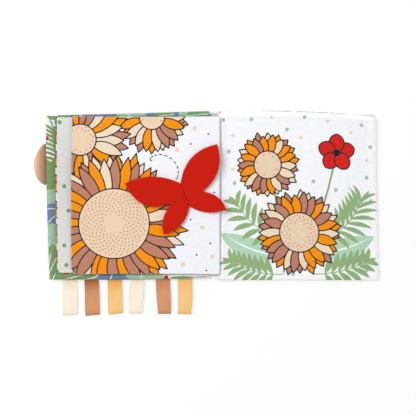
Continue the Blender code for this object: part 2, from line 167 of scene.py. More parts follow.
def make_layer(quad, radii, profile, drape=None, bows=DRAW_IN):
    """A function that lays points of a flat cut on a panel with these corners, from lower left on.
    It also gives where the print lies: in a hem its spare ends are tucked in, and not squeezed."""
    quad, radii = np.array(quad, float), np.broadcast_to(radii, 4)
    size = (np.abs(quad[2] - quad[0]) + np.abs(quad[1] - quad[3])) / 2

    def lay(flat):
        far = size - flat
        edge = np.minimum(flat, far).min(axis=1)
        inset, height = profile(edge, flat)
        place, printed = flat.copy(), flat.copy()
        for axis, low_corners, high_corners in ((0, (0, 1), (3, 2)), (1, (0, 3), (1, 2))):
            other = 1 - axis
            for side in (0, 1):
                near = (far if side else flat)[:, axis] <= edge + 1e-9
                low, high = radii[low_corners[side]], radii[high_corners[side]]
                start = np.where(edge < 0, inset + np.maximum(low - inset, TIGHT_SHARE * low), low)
                end = np.where(edge < 0, inset + np.maximum(high - inset, TIGHT_SHARE * high), high)
                share = (flat[:, other] - low) / (size[other] - low - high)
                along = start + (size[other] - start - end) * share
                reach = size[axis] - inset if side else inset
                place[near, axis] = reach[near]
                place[near, other] = along[near]
                hem = near & (edge < 0)
                printed[hem, other] = along[hem]
        for corner, (right, top) in enumerate(((0, 0), (1, 0), (1, 1), (0, 1))):
            radius = radii[corner]
            x = far[:, 0] if right else flat[:, 0]
            y = far[:, 1] if top else flat[:, 1]
            at = (x < radius) & (y < radius)
            a, b = radius - x[at], radius - y[at]
            turn = np.where(a >= b, b / a, 2 - a / b) * math.pi / 4
            ring = inset[at]
            bend = np.maximum(radius - ring, np.where(edge[at] < 0, TIGHT_SHARE * radius, 0))
            x = ring + bend * (1 - np.cos(turn))
            y = ring + bend * (1 - np.sin(turn))
            place[at, 0] = size[0] - x if right else x
            place[at, 1] = size[1] - y if top else y
        u, v = (place / size).T
        place[:, 0] += 4 * v * (1 - v) * (u * bows[1] - (1 - u) * bows[3])
        place[:, 1] += 4 * u * (1 - u) * (v * bows[2] - (1 - v) * bows[0])
        u, v = (place / size).T[:, :, None]
        flat_place = (1 - u) * (1 - v) * quad[0] + u * (1 - v) * quad[1]
        flat_place += u * v * quad[2] + (1 - u) * v * quad[3]
        x, y = flat_place.T
        if drape:
            height = drape(x, y, edge, height)
        return np.column_stack([x, y, height]), printed

    return lay, size


# %% A sheet of cloth


def cut_cloth(
    name, quad, radii, pitch, profile, drape=None,
    margin=0.0, thick=CLOTH, face_down=False, bows=DRAW_IN,
):
    """A sheet of cloth: cut flat with a margin, folded over its panel's edges, then thickened."""
    lay, size = make_layer(quad, radii, profile, drape, bows)
    wide, long = size + 2 * margin
    grid = {"x_subdivisions": round(wide / pitch), "y_subdivisions": round(long / pitch), "size": 2}
    cloth = start_piece(name, bpy.ops.mesh.primitive_grid_add, **grid)
    laid, printed = lay((points_of(cloth)[:, :2] + 1) / 2 * (wide, long) - margin)
    put_points(cloth, laid)
    keep_cut(cloth, printed + quad[0])
    if face_down:
        edit_all(cloth, bpy.ops.mesh.flip_normals)
    cloth["flat_size"] = [wide, long]
    apply_modifier(cloth, "SOLIDIFY", thickness=thick, offset=-1, use_even_offset=True)
    smooth(cloth)
    LAYS[name] = lay, size
    return cloth


def keep_cut(cloth, cut):
    """The cut's own coordinates in metres, as a UV map that the weave and the print follow."""
    corners = np.zeros(len(cloth.data.loops), int)
    cloth.data.loops.foreach_get("vertex_index", corners)
    cloth.data.uv_layers.active.name = "cut"
    cloth.data.uv_layers["cut"].data.foreach_set("uv", cut[corners].ravel())
    stored = cloth.data.attributes.new("cut_place", "FLOAT_VECTOR", "POINT")
    stored.data.foreach_set("vector", np.column_stack([cut, 0 * cut[:, 0]]).ravel())


def cut_of(cloth):
    """Where each point lay on the flat cut, in millimetres."""
    places = np.zeros(len(cloth.data.vertices) * 3)
    cloth.data.attributes["cut_place"].data.foreach_get("vector", places)
    return places.reshape(-1, 3)[:, :2] / MM


# %% [markdown]
# ## Prints as stacks of ink
# A textile print is a few flat inks with crisp edges. It could be an image, but a picture has
# pixels. Here each ink is a number on every point of the cloth: how far the point is outside that
# ink's shapes, below zero inside them. The material cuts the number at zero, so an edge stays crisp
# between points. A later shape covers an earlier one, as in screen printing: it is taken out of the
# other inks.

# %% Inks and shapes

FAR = 50.0  # an ink's distance where none of its shapes is near
REACH = 4.0  # how far outside a shape its distance is still worked out
EVERYWHERE = slice(None)


class Inks:
    """The inks on one cloth. All lengths are in millimetres on the flat cut."""

    def __init__(self, cloth, names):
        self.cloth, self.places = cloth, cut_of(cloth)
        self.levels = {name: np.full(len(self.places), FAR) for name in names}

    def paint(self, near, distance, ink=None, line=0.0):
        """Prints a shape, or without an ink leaves bare ground. A line round it is in dark ink."""
        for other in self.levels.values():
            other[near] = np.maximum(other[near], -distance)
        if ink:
            self.levels[ink][near] = np.minimum(self.levels[ink][near], distance)
        if line:
            dark = self.levels["dark"]
            dark[near] = np.minimum(dark[near], np.abs(distance) - line / 2)

    def near_to(self, middle, reach):
        offset = self.places - np.array(middle)
        return np.flatnonzero((offset**2).sum(1) < (reach + REACH) ** 2)

    def spot(self, middle, radius, ink, line=0.0):
        near = self.near_to(middle, radius)
        self.paint(near, np.hypot(*(self.places[near] - middle).T) - radius, ink, line)

    def lens(self, start, end, width, ink=None, line=0.0, tip=0.3, bend=0.0):
        """A petal or leaf from start to end: where two circles overlap, with round tips, bent."""
        start, end = np.array(start), np.array(end)
        middle, half = (start + end) / 2, np.linalg.norm(end - start) / 2
        along = (end - start) / (2 * half)
        near = self.near_to(middle, half + width + abs(bend))
        offset = self.places[near] - middle
        a = offset @ along
        b = offset @ np.array((-along[1], along[0])) - bend * (1 - (a / half) ** 2)
        long, wide = half - tip, width / 2 - tip
        radius = (long**2 + wide**2) / (2 * wide)
        self.paint(near, np.hypot(a, np.abs(b) + radius - wide) - radius - tip, ink, line)

    def stroke(self, points, width, ink=None):
        """A pen line through points."""
        points = np.array(points)
        middle = (points.min(0) + points.max(0)) / 2
        near = self.near_to(middle, np.linalg.norm(points - middle, axis=1).max() + width)
        best = np.full(len(near), FAR)
        for start, end in zip(points[:-1], points[1:]):
            run = end - start
            offset = self.places[near] - start
            share = np.clip(offset @ run / (run @ run), 0, 1)
            best = np.minimum(best, np.linalg.norm(offset - share[:, None] * run, axis=1))
        self.paint(near, best - width / 2, ink)

    def dots(self, middles, radius, ink):
        for middle in middles:
            self.spot(middle, radius, ink)

    def scatter(self, draw, box, count, radius, ink):
        """Dots at random places between a box's left and right, bottom and top."""
        left, right, bottom, top = box
        middles = [(draw.uniform(left, right), draw.uniform(bottom, top)) for _ in range(count)]
        self.dots(middles, radius, ink)

    def keep(self):
        for name, level in self.levels.items():
            keep_number(self.cloth, "ink_" + name, level)


# %% [markdown]
# ## Leaves and flowers
# The printed motifs are plain ones that any textile designer draws: palm leaves, broad leaves with
# a white midrib, sunflowers with outlined petals, and a poppy. Each is a function of its place and
# size.

# %% Leaves

OUTLINE = 1.25


def turned(angle):
    return np.array((math.cos(angle), math.sin(angle)))


def bowed(start, end, bend):
    """A line that bows out by `bend`: its start, its run, its side, and a function of its share."""
    start = np.array(start, float)
    run = np.array(end, float) - start
    side = np.array((-run[1], run[0])) / np.linalg.norm(run)

    def at(share):
        return start + run * share + side * bend * 4 * share * (1 - share)

    return start, run, side, at


def palm(inks, start, end, ink, bend=8.0, pairs=7, width=5.6, reach=25.0):
    """A palm leaf: a bent rib with pairs of leaflets that shorten and close up towards the tip."""
    start, run, side, rib_at = bowed(start, end, bend)
    rib = [rib_at(share) for share in np.linspace(0, 1, 12)]
    for step in range(pairs):
        share = 0.2 + 0.75 * step / (pairs - 1)
        root = rib_at(share)
        heading = math.atan2(*(run + side * bend * 4 * (1 - 2 * share))[::-1])
        length = reach * math.sin(math.pi * (0.25 + 0.55 * share)) ** 0.8
        spread = math.radians(74 - 36 * share)
        for hand in (-1, 1):
            inner = root + 1.2 * turned(heading + hand * spread)
            tip = root + length * turned(heading + hand * spread)
            inks.lens(inner, tip, width * (1 - 0.3 * share), ink, tip=1.2, bend=-hand * 1.2)
    crown = rib[-1] + run / np.linalg.norm(run) * reach * 0.45
    inks.lens(rib[-2], crown, width * 0.7, ink, tip=1.0)
    inks.stroke(rib, 1.1, ink)


def broad_leaf(inks, start, end, width, ink, bend=5.0, veins=0):
    """A broad leaf with a white midrib and, on the covers, white side veins."""
    inks.lens(start, end, width, ink, tip=3.0, bend=bend)
    start, run, _, rib_at = bowed(start, end, bend)
    inks.lens(start, start + run * 0.9, 1.7, tip=0.3, bend=bend * 0.95)
    for step in range(veins):
        share = (step + 0.8) / (veins + 0.6)
        root = rib_at(share)
        for hand in (-1, 1):
            heading = math.atan2(run[1], run[0]) + hand * math.radians(42)
            tip = root + turned(heading) * width * 0.62 * math.sin(math.pi * share) ** 0.6
            inks.lens(root, tip, 1.1, tip=0.3, bend=-hand * 0.8)


# %% Flowers

SEED_TURN = 2.39996  # the golden angle, by which each seed turns on from the last
SEED_SPREAD = 2.05
FIRST_SEED = 24
POPPY_PETALS = 5
POPPY_TURN = 0.3


def sunflower(inks, middle, disc, reach, petals, colours, seed):
    """Two rows of outlined petals round a disc with a ring of seeds."""
    draw = random.Random(seed)
    middle = np.array(middle, float)
    width = 2 * math.pi * (disc + (reach - disc) * 0.5) / petals
    for row, (shift, share) in enumerate(((0.5, 1.0), (0.0, 0.93))):
        for petal in range(petals):
            heading = 2 * math.pi * (petal + shift) / petals + draw.uniform(-0.02, 0.02)
            length = reach * share * draw.uniform(0.94, 1.03)
            root = middle + disc * 0.7 * turned(heading)
            tip = middle + length * turned(heading + draw.uniform(-0.03, 0.03))
            ink = colours[(petal * 2 + row + draw.randrange(2)) % len(colours)]
            inks.lens(root, tip, width * 1.12, ink, OUTLINE, 0.6, draw.uniform(-1.2, 1.2))
    inks.spot(middle, disc, "beige", OUTLINE)
    for number in range(FIRST_SEED, int(disc**2 / 5)):
        distance = SEED_SPREAD * math.sqrt(number)
        if distance < disc - 2.2:
            inks.spot(middle + distance * turned(number * SEED_TURN), 0.85, "terracotta")


def poppy(inks, middle, radius, ink):
    for petal in range(POPPY_PETALS):
        heading = turned(POPPY_TURN + 2 * math.pi * petal / POPPY_PETALS)
        root, tip = middle + radius * 0.05 * heading, middle + radius * heading
        inks.lens(root, tip, radius * 0.82, ink, OUTLINE, radius * 0.22)
    inks.spot(middle, radius * 0.2, "dark")


# %% [markdown]
# ## Colours and nodes
# The photograph's colours are noted as sRGB hex values, as a designer would. Blender computes in
# linear light, so one function turns them. One more adds a node with its settings and links. Every
# finish here has the same frame, so a third builds it: a shader with the values that are the same
# all over, a pattern made from the place on the piece, and a bump. A fourth lays inks, dye patches,
# and painted light and shade over a ground colour, one after the other. A noise's scale is one over
# the size of its grains, so each grain below is given as a length: MM / 1.5 means 1.5 grains to the
# millimetre.

# %% Colour and node helpers


def linear(code):
    """An sRGB hex value as linear red, green, blue and alpha."""
    parts = [int(code[i : i + 2], 16) / 255 for i in (1, 3, 5)]
    return [x / 12.92 if x <= 0.04045 else ((x + 0.055) / 1.055) ** 2.4 for x in parts] + [1.0]


def add(tree, kind, sockets=None, output=0, **settings):
    """Adds a node and gives one of its outputs. `kind` is Blender's name without its ShaderNode;
    `sockets` maps an input's name or number to a value or to another node's output."""
    made = tree.nodes.new("ShaderNode" + kind)
    for key, value in settings.items():
        setattr(made, key, value)
    for key, value in (sockets or {}).items():
        if isinstance(value, bpy.types.NodeSocket):
            tree.links.new(value, made.inputs[key])
        else:
            made.inputs[key].default_value = value
    return made.outputs[output]


def start_material(name, values, coordinates):
    material = bpy.data.materials.new(name)
    material.use_nodes = True
    tree = material.node_tree
    shader = tree.nodes["Principled BSDF"]
    for key, value in values.items():
        shader.inputs[key].default_value = value
    return material, tree, shader, add(tree, "TexCoord", output=coordinates)


def finish_of(name, values, pattern, strength, distance, coordinates="Object"):
    """A material. `pattern` takes its tree and the place, and gives a colour, or None where it is
    the same all over, and the sockets of the bump."""
    material, tree, shader, place = start_material(name, values, coordinates)
    colour, relief = pattern(tree, place)
    if colour:
        tree.links.new(colour, shader.inputs["Base Color"])
    bump = add(tree, "Bump", {"Strength": strength, "Distance": distance, **relief})
    tree.links.new(bump, shader.inputs["Normal"])
    return material


def layered_inks_dyes_and_painted_light(tree, ground, colour_layers):
    """A ground colour with layers over it, each covering a share from 0 to 1: inks, dye patches, and
    painted light and shade.
    """
    colour = linear(ground)
    for share, dye in colour_layers:
        colour = add(tree, "Mix", {0: share, 6: colour, 7: linear(dye)}, 2, data_type="RGBA")
    return colour


def dress(material, *pieces):
    for piece in pieces:
        piece.data.materials.clear()
        piece.data.materials.append(material)


# %% [markdown]
# ## Woven cotton, printed
# The pages are a plain-woven cotton blend, printed and slightly calendered: matt, with a faint grid
# of threads. Real threads lie about 0.35 mm apart, too fine for this picture, so they are drawn 0.9
# mm apart. Broad soft waves stand for the crackling film that pushes from below.

# %% Page cotton

THREAD = 0.9 * MM
BAND_TURN = 0.314  # Blender's wave texture repeats each 0.314 units at scale 1
PATCH = MM / 0.26  # the ground is a little uneven, in patches of about 4 mm
FOLD = MM / 0.055  # soft crinkles, about 18 mm wide
INK_EDGE = 0.16  # how softly an ink ends, in millimetres to each side
INK_COLOURS = {
    "orange": "#F59200",
    "terracotta": "#BE8068",
    "cream": "#EFD9BE",
    "beige": "#EBD0B2",
    "dark": "#1F1C24",
    "red": "#D21C14",
    "leaf": "#92B27C",
    "mint": "#B3D6BB",
    "green": "#7D9F6A",
    "pale": "#A2C6A8",
    "blue": "#6C87A8",
    "deep": "#5F8757",
    "peach": "#F3D2B2",
    # white: only the right page's painted highlight along its rolled edge uses it
    "white": "#FFFFFF",
    "amber": "#FFA71C",
    "tan": "#D08B70",
    "ivory": "#FFEFD8",
}


def woven(tree, place, pitch, operation, **more):
    """The height of threads that cross at right angles."""
    sockets = {"Vector": place, "Scale": BAND_TURN / pitch, **more}
    warp, weft = (add(tree, "TexWave", sockets, 1, bands_direction=way) for way in "XY")
    return add(tree, "Math", {0: warp, 1: weft}, operation=operation)


def printed_cloth(
    name, ground, inks, threads=0.10, mottle=0.05, values=None, crinkle=0.35, grain=PATCH
):
    """A cloth material: a ground colour with inks on it, a weave, and soft crinkles."""

    def pattern(tree, place):
        colour_layers = []
        for ink in inks:
            level = add(tree, "Attribute", output="Fac", attribute_name="ink_" + ink)
            ends = {0: level, 1: -INK_EDGE, 2: INK_EDGE, 3: 1.0, 4: 0.0}
            covers = add(tree, "MapRange", ends, interpolation_type="SMOOTHSTEP")
            colour_layers.append((covers, INK_COLOURS[ink]))
        patches = add(tree, "TexNoise", {"Vector": place, "Scale": 1 / grain, "Detail": 4.0})
        uneven = add(tree, "MapRange", {0: patches, 1: 0.3, 2: 0.7, 3: 1 - mottle, 4: 1.0})
        printed = {0: 1.0, 6: layered_inks_dyes_and_painted_light(tree, ground, colour_layers), 7: uneven}
        colour = add(tree, "Mix", printed, 2, data_type="RGBA", blend_type="MULTIPLY")
        weave = woven(tree, place, THREAD, "MAXIMUM", Distortion=0.6, Detail=1.0)
        soft = {"Vector": place, "Scale": 1 / FOLD, "Detail": 2.0, "Roughness": 0.4}
        folds = {"Strength": crinkle, "Distance": 1.2 * MM, "Height": add(tree, "TexNoise", soft)}
        return colour, {"Height": weave, "Normal": add(tree, "Bump", folds)}

    looks = {"Roughness": 0.88, "Specular IOR Level": 0.25}
    looks.update({"Sheen Weight": 0.12, "Sheen Roughness": 0.5, **(values or {})})
    return finish_of(name, looks, pattern, threads, 0.3 * MM, "UV")


print("inks:", ", ".join(INK_COLOURS))

# %% [markdown]
# ## The pile's sizes
# Each panel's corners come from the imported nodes' boxes, with the few slants that a box can't show.
# The leaves lift a little at their free edge, as sewn leaves with film inside do.

# %% Panels from the frame

COVER_TOP_FALL = 4.6 * MM  # the covers' edges slant: this is how much lower the outer end lies
COVER_BOTTOM_FALL = 1.0 * MM
COVER_LEAN = 3.8 * MM
PAGE_TOP_FALL = 4.9 * MM
PAGE_BOWS = np.array((-0.4, -0.6, 2.8, 0.6)) * MM
PAGE_FLARE = 1.4 * MM  # the outer edge leans in at its top and out at its bottom by this much


def quad_of(node, grow=0.0):
    """The node's box seen from above, as corners from the lower left, grown or shrunk all round."""
    low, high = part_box(node)
    left, bottom, right, top = low.x - grow, low.y - grow, high.x + grow, high.y + grow
    return [[left, bottom], [right, bottom], [right, top], [left, top]]


def heights_of(node):
    low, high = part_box(node)
    return low.z, high.z


def cover_quad(shrink=0.0):
    (left, bottom), (right, _), (_, top), _ = quad_of("front_cover_outer")
    return [
        [left + COVER_LEAN + shrink, bottom + shrink],
        [right - shrink, bottom + COVER_BOTTOM_FALL + shrink],
        [right - shrink, top - shrink],
        [left + shrink, top - COVER_TOP_FALL - shrink],
    ]


def page_quad(node, shrink=0.0):
    (left, bottom), (right, _), (_, top), _ = quad_of(node)
    return [
        [left + shrink, bottom + shrink],
        [right + PAGE_FLARE - shrink, bottom + shrink],
        [right - PAGE_FLARE - shrink, top - PAGE_TOP_FALL - shrink],
        [left + shrink, top - shrink],
    ]


def ripple(x, y):
    """Broad low waves that the whole pile shares, in metres of height."""
    waves = np.sin(x / (17 * MM) + 0.6 * np.sin(y / (23 * MM)))
    return 0.11 * MM * (waves + np.sin(y / (21 * MM) - x / (39 * MM)))


def curl(amount, start, run, power, middle, spread, ends):
    """A leaf's free edge curls up, most a little above its middle. This gives it as a height."""

    def height(x, y):
        climb = np.clip((start - x) / run, 0, 1) ** power
        most = np.exp(-(((y - middle) / spread) ** 2))
        return ripple(x, y) + amount * climb * (ends + (1 - ends) * most)

    return height


LEAVES = {  # each leaf's corner radii, leans and bows in mm, and its curl
    "leaf_1": (
        ((4.5, 2.0, 2.0, 2.0), (1.6, 0.0, 0.0, 0.8), (-0.6, -0.6, -0.6, -0.1)),
        curl(4.4 * MM, -150 * MM, 17 * MM, 1.1, 22 * MM, 50 * MM, 0.1),
    ),
    "leaf_2": (
        ((7.0, 2.0, 2.0, 2.0), (0.8, 0.4, 0.4, 2.0), (-0.6, -0.2, -0.6, 0.6)),
        curl(5.0 * MM, -112 * MM, 42 * MM, 2, 12 * MM, 60 * MM, 0.3),
    ),
}
print("front cover's corners in mm:", np.round(np.array(cover_quad()) / MM, 1).tolist())

# %% [markdown]
# ## The leaves' sheets
# Each leaf is a front and a back sheet with a film between them, sewn round the edge. The front
# sheet rolls over the seam, the back sheet lies flat under it. All three are laid with the same
# curl, so they keep their distance. Leaf 2's front is the printed page, and gets the finest grid.

# %% Leaf sheets

SEAM_ROLL = 0.9 * MM
SEAM_HEM = 0.45 * MM
FILM = 0.2 * MM
FILM_PITCH = 2.2 * MM
FILM_RADIUS = 2.0 * MM


def leaf_profile(top):
    """The profile of a front sheet, which rolls half over the seam."""
    return lambda edge, flat: roll_over(edge, SEAM_ROLL, top, top - 2 * SEAM_ROLL, 0.5)[:2]


def leaf_sheet(leaf, node, name, pitch, profile, radii=None, **settings):
    shape, curled = LEAVES[leaf]
    leaf_radii, leans, bows = np.array(shape) * MM
    corners = [[x + lean, y] for (x, y), lean in zip(quad_of(node), leans)]
    if radii is None:
        radii = leaf_radii
    settings.update(bows=bows, drape=lambda x, y, edge, height: height + curled(x, y))
    return cut_cloth(name, corners, radii, pitch, profile, **settings)


def front_sheet(leaf, pitch):
    node = leaf + "_front_sheet"
    profile = leaf_profile(heights_of(node)[1])
    return leaf_sheet(leaf, node, leaf + "_front_cloth", pitch, profile, margin=SEAM_HEM)


def back_sheet(leaf, pitch):
    node = leaf + "_back_sheet"
    profile = flat_profile(heights_of(node)[0])
    return leaf_sheet(leaf, node, leaf + "_back_cloth", pitch, profile, face_down=True)


def film_sheet(leaf):
    node = leaf + "_crinkle_film"
    profile = flat_profile(heights_of(node)[1])
    return leaf_sheet(leaf, node, node + "_sheet", FILM_PITCH, profile, FILM_RADIUS, thick=FILM)


leaf_2_front = front_sheet("leaf_2", 0.8 * MM)
leaf_2_back = back_sheet("leaf_2", 1.2 * MM)
leaf_1_front = front_sheet("leaf_1", 1.0 * MM)
leaf_1_back = back_sheet("leaf_1", 1.6 * MM)
leaf_1_film, leaf_2_film = film_sheet("leaf_1"), film_sheet("leaf_2")
tell(leaf_2_front, leaf_2_back, leaf_1_front, leaf_1_back, leaf_1_film, leaf_2_film)

# %% [markdown]
# ## The printed left page
# Bluish-white cotton with three outlined sunflowers in orange, terracotta and cream that run off
# the page, peach and black dots, and a dashed flight path. The felt butterfly sits over it.

# %% Left page's print

LEFT_PAGE_INKS = ("orange", "terracotta", "cream", "beige", "peach", "dark")
PEACH_SPOTS = ((-26, 70), (-14, 47), (-44, 48), (-18, -32), (-38, -70), (-8, -62), (-8, 20))
FLECKS = (
    (-38, 76), (-12, 64), (-24, 30), (-10, 34), (-6, 4),
    (-30, -24), (-10, -48), (-24, -60), (-14, -76), (-30, 54),
)
DASHES = 13
DASH_WIDTH = 1.15
DASH_SHARE = 0.5
FLIGHT_START = np.array((-45.0, 17.5))
FLIGHT_DRIFT = np.array((-24, 20))
FLIGHT_LOOP = 7.5


def flight(share):
    """A lazy loop up from the butterfly's head."""
    turn = 2 * math.pi * share
    loop = np.array((math.sin(turn), 1 - math.cos(turn)))
    return FLIGHT_START + FLIGHT_DRIFT * share + FLIGHT_LOOP * loop


inks = Inks(leaf_2_front, LEFT_PAGE_INKS)
sunflower(inks, (-70, 82), 13, 38, 18, ("orange", "terracotta", "cream"), 3)
sunflower(inks, (-143, 58), 16, 50, 20, ("terracotta", "cream", "orange"), 8)
sunflower(inks, (-108, -28), 36, 73, 32, ("orange", "cream", "terracotta"), 5)
inks.dots(PEACH_SPOTS, 2.4, "peach")
inks.dots(FLECKS, 0.95, "dark")
for number in range(DASHES):
    shares = np.linspace(number, number + DASH_SHARE, 4) / DASHES
    inks.stroke([flight(share) for share in shares], DASH_WIDTH, "dark")
inks.keep()
dress(printed_cloth("printed_page_cotton_left", "#F3F4FA", LEFT_PAGE_INKS), leaf_2_front)
print("left page's inks:", LEFT_PAGE_INKS)

# %% [markdown]
# ## The pages under it
# Leaf 1 shows only its left strip until leaf 2 is turned, white with green dots. Its page and the
# back of leaf 2 get a print of the same family, and the back of leaf 1 gets plain dots.

# %% Inner pages' prints

STRIP_DOTS = ((-163, 76), (-158.5, 10.4), (-154.5, -14.6), (-159, -50.3), (-157, -70.5))
PLAIN_INKS = (
    "green", "pale", "peach", "leaf", "mint", "terracotta", "orange", "cream", "beige", "dark",
)
GARDEN_BOX = (-148, -6, -74, 76)
PLAIN_BOX = (-150, -5, -75, 78)


def garden_page(cloth, seed):
    """A page that mostly stays covered: a palm, broad leaves, one flower and dots."""
    inks = Inks(cloth, PLAIN_INKS)
    draw = random.Random(seed)
    inks.scatter(draw, GARDEN_BOX, 26, 2.1, "green")
    inks.scatter(draw, GARDEN_BOX, 18, 1.8, "peach")
    palm(inks, (-74, -78), (-128, -16), "leaf", 10)
    palm(inks, (-70, -78), (-22, -22), "leaf", -10)
    broad_leaf(inks, (-76, -78), (-140, -56), 24, "mint", 4)
    broad_leaf(inks, (-68, -78), (-10, -58), 24, "mint", -4)
    sunflower(inks, (-72, 8), 20, 44, 20, ("orange", "terracotta", "cream"), seed)
    inks.dots(STRIP_DOTS, 2.1, "green")
    inks.keep()


garden_page(leaf_1_front, 4)
garden_page(leaf_2_back, 9)
inks = Inks(leaf_1_back, ("green", "peach"))
draw = random.Random(2)
for ink in ("green", "peach"):
    inks.scatter(draw, PLAIN_BOX, 30, 2.0, ink)
inks.keep()
# The ground #E3E3E2 is grey-white: partly the cotton's own tone, partly painted shade, as the strip
# lies in the shade of leaf 2's lifted edge.
garden_looks = {"mottle": 0.2, "grain": MM / 0.8}
garden_cotton_painted_shade = printed_cloth("printed_page_cotton_inner", "#E3E3E2", PLAIN_INKS, **garden_looks)
dress(garden_cotton_painted_shade, leaf_1_front, leaf_2_back)
dress(printed_cloth("dotted_page_cotton", "#F1F2F6", ("green", "peach")), leaf_1_back)
print("inner pages' inks:", PLAIN_INKS)

# %% [markdown]
# ## Crackling film
# A thin polyester film, once crumpled: clear to milky, hard and glossy, with a net of sharp
# creases. It is never seen while the seams are closed, but it is in the object, so it gets its own
# finish.

# %% Film material

CRUMPLE = MM / 0.095  # about 10 mm from crease to crease


def crumples(tree, place):
    sockets = {"Vector": place, "Scale": 1 / CRUMPLE}
    creases = add(tree, "TexVoronoi", sockets, "Distance", feature="DISTANCE_TO_EDGE")
    return None, {"Height": creases}


film_looks = {"Base Color": linear("#DDE4EA"), "Roughness": 0.22, "IOR": 1.58, "Coat Weight": 0.3}
film_finish = finish_of("crumpled_polyester_film", film_looks, crumples, 0.8, 1.5 * MM, "UV")
dress(film_finish, leaf_1_film, leaf_2_film)
print("film's cells between creases:", round(CRUMPLE / MM, 1), "mm")

# %% [markdown]
# ## The covers' outer cloth
# A short-pile velour printed with big jungle leaves in greens and blue, with red berries. On the
# front cover the same cloth turns over the edge and lies on the inside as a padded border. The
# print is laid out over the whole outside of the book, so it runs on from the front cover over the
# spine.

# %% Jungle print

JUNGLE_INKS = ("green", "pale", "blue", "deep", "red")
JUNGLE_CHOICE = ("green", "pale", "blue", "green", "pale", "deep")  # the greens twice as often
JUNGLE_START = np.array((-190, -95))
JUNGLE_CELL = 31.0
JUNGLE_COLUMNS = 12
JUNGLE_ROWS = 7
LEAF_HALF = 26
LEAF_REACH = 45
LEFT_BORDER = (
    ("green", 46, 0), ("pale", 3, -14), ("blue", -11, -34),
    ("pale", -32, -59), ("green", -54, -100),
)
BOTTOM_BORDER = (("green", -180, -122), ("blue", -121, -92), ("pale", -90, -61))
TOP_BORDER = (
    ("green", -180, -147), ("blue", -147, -105), ("pale", -99, -72), ("blue", -69, -60),
    ("green", -60, -44), ("blue", -43, -37), ("pale", -36, -29), ("green", -27, -8),
)
BORDER_VEINS = (
    ((-190, -12), (-174, -11.5)),
    ((-190, -17), (-182, -22), (-174, -30)),
    ((-190, -58), (-184, -66), (-174, -84)),
    ((-180, -58), (-177, -70), (-168, -96)),
    ((-166, -86), (-140, -93), (-122, -97)),
    ((-150, -86), (-128, -90), (-118, -97)),
    ((-112, -86), (-108, -97)),
    ((-80, -86), (-78, -97)),
    ((-140, 88), (-128, 95)),
    ((-92, 88), (-84, 95)),
    ((-60, 91), (-44, 90)),
    ((-34, 92), (-10, 90.5)),
)
BERRIES = (
    (-178, 61.2), (-53.3, -89.9), (-157, -95.5), (-150, 20), (-90, -30), (-120, 66), (-40, 30),
    (60, 40), (110, -50), (30, -60), (140, 60),
)


def scattered_leaves(inks):
    """A leaf to each cell of a grid over the cut, turned at random, but none off the cut."""
    low, high = inks.places.min(0), inks.places.max(0)
    draw = random.Random(21)
    for column in range(JUNGLE_COLUMNS):
        for row in range(JUNGLE_ROWS):
            middle = JUNGLE_START + (JUNGLE_CELL * column, JUNGLE_CELL * row)
            middle = middle + (draw.uniform(-7, 7), draw.uniform(-7, 7))
            heading = turned(draw.uniform(0, 2 * math.pi))
            kind, ink = draw.random(), draw.choice(JUNGLE_CHOICE)
            start, end = middle - heading * LEAF_HALF, middle + heading * LEAF_HALF
            bend = draw.uniform(-6, 6)
            if (middle + LEAF_REACH < low).any() or (middle - LEAF_REACH > high).any():
                continue
            if kind < 0.3:
                palm(inks, start, end, ink, bend, 8, 5.5, 20)
            else:
                broad_leaf(inks, start, end, 24, ink, bend, 6)


def jungle(cloth):
    """The print of the book's outside, with chosen leaves along the front cover's border."""
    inks = Inks(cloth, JUNGLE_INKS)
    scattered_leaves(inks)
    for ink, first, last in LEFT_BORDER:
        inks.lens((-182, first + 5), (-184, last - 5), 30, ink, tip=4, bend=1)
    for ink, first, last in BOTTOM_BORDER:
        inks.lens((first - 4, -92), (last + 4, -90), 15, ink, tip=3, bend=1)
    for ink, first, last in TOP_BORDER:
        inks.lens((first - 4, 91), (last + 4, 90), 14, ink, tip=3, bend=-1)
    inks.lens((-184, 112), (-182, 38), 44, tip=6)
    palm(inks, (-191, 24), (-180, 86), "green", 2, 11, 3.1, 18)
    inks.lens((-50, -92), (-2, -90), 16, tip=5)
    palm(inks, (-36, -90.5), (-11, -90), "green", 0.5, 5, 2.2, 9)
    inks.lens((-47.3, -89.4), (-27, -89.4), 3.2, "green", tip=1.0)
    inks.lens((-190, 88.5), (-152, 91.0), 4.0, "green", tip=1.0)
    for vein in BORDER_VEINS:
        inks.stroke(vein, 1.0)
    inks.dots(BERRIES, 2.4, "red")
    inks.keep()


# %% [markdown]
# A velour has upright fibres about 1 mm long. They scatter light at a glancing angle, which sheen
# gives, and they lie in small tufts, which a fine noise gives the bump and the colour. The border
# swells over the wadding, narrows at the left from the top down, and lies down beside the leaves.

# %% Front cover cloth

BORDER_PUFF = 1.5 * MM
BORDER_WIDTH = 9.2 * MM
COVER_ROLL = 2.2 * MM
COVER_RADII = np.array((1.3, 4.0, 4.0, 1.3)) * MM
COVER_BOWS = np.array((0.7, 0.0, -0.2, 0.9)) * MM
LEAF_CLEARANCE = 1.2 * MM
PUCKER = 0.16 * MM
VELOUR_TUFT = MM / 0.42  # where the pile lies together; single fibres are too fine to show
cover_low, cover_top = heights_of("front_cover_outer")
cover_arc = math.pi * (COVER_ROLL + (cover_top - cover_low) / 2) / 2
cover_margin = cover_arc + BORDER_WIDTH - 2 * COVER_ROLL
cover_size = make_layer(cover_quad(), COVER_RADII, None)[1]


def cover_profile(edge, flat):
    """The border at the left narrows from the top down."""
    inset, height, beyond = roll_over(edge, COVER_ROLL, cover_low, cover_top)
    down = 1 - flat[:, 1] / cover_size[1]
    at_left = np.exp(-np.clip(flat[:, 0] + cover_margin, 0, None) / (25 * MM))
    change = (0.18 - 0.75 * down + 0.42 * down**2) * at_left
    return inset + beyond * (1 + change), height


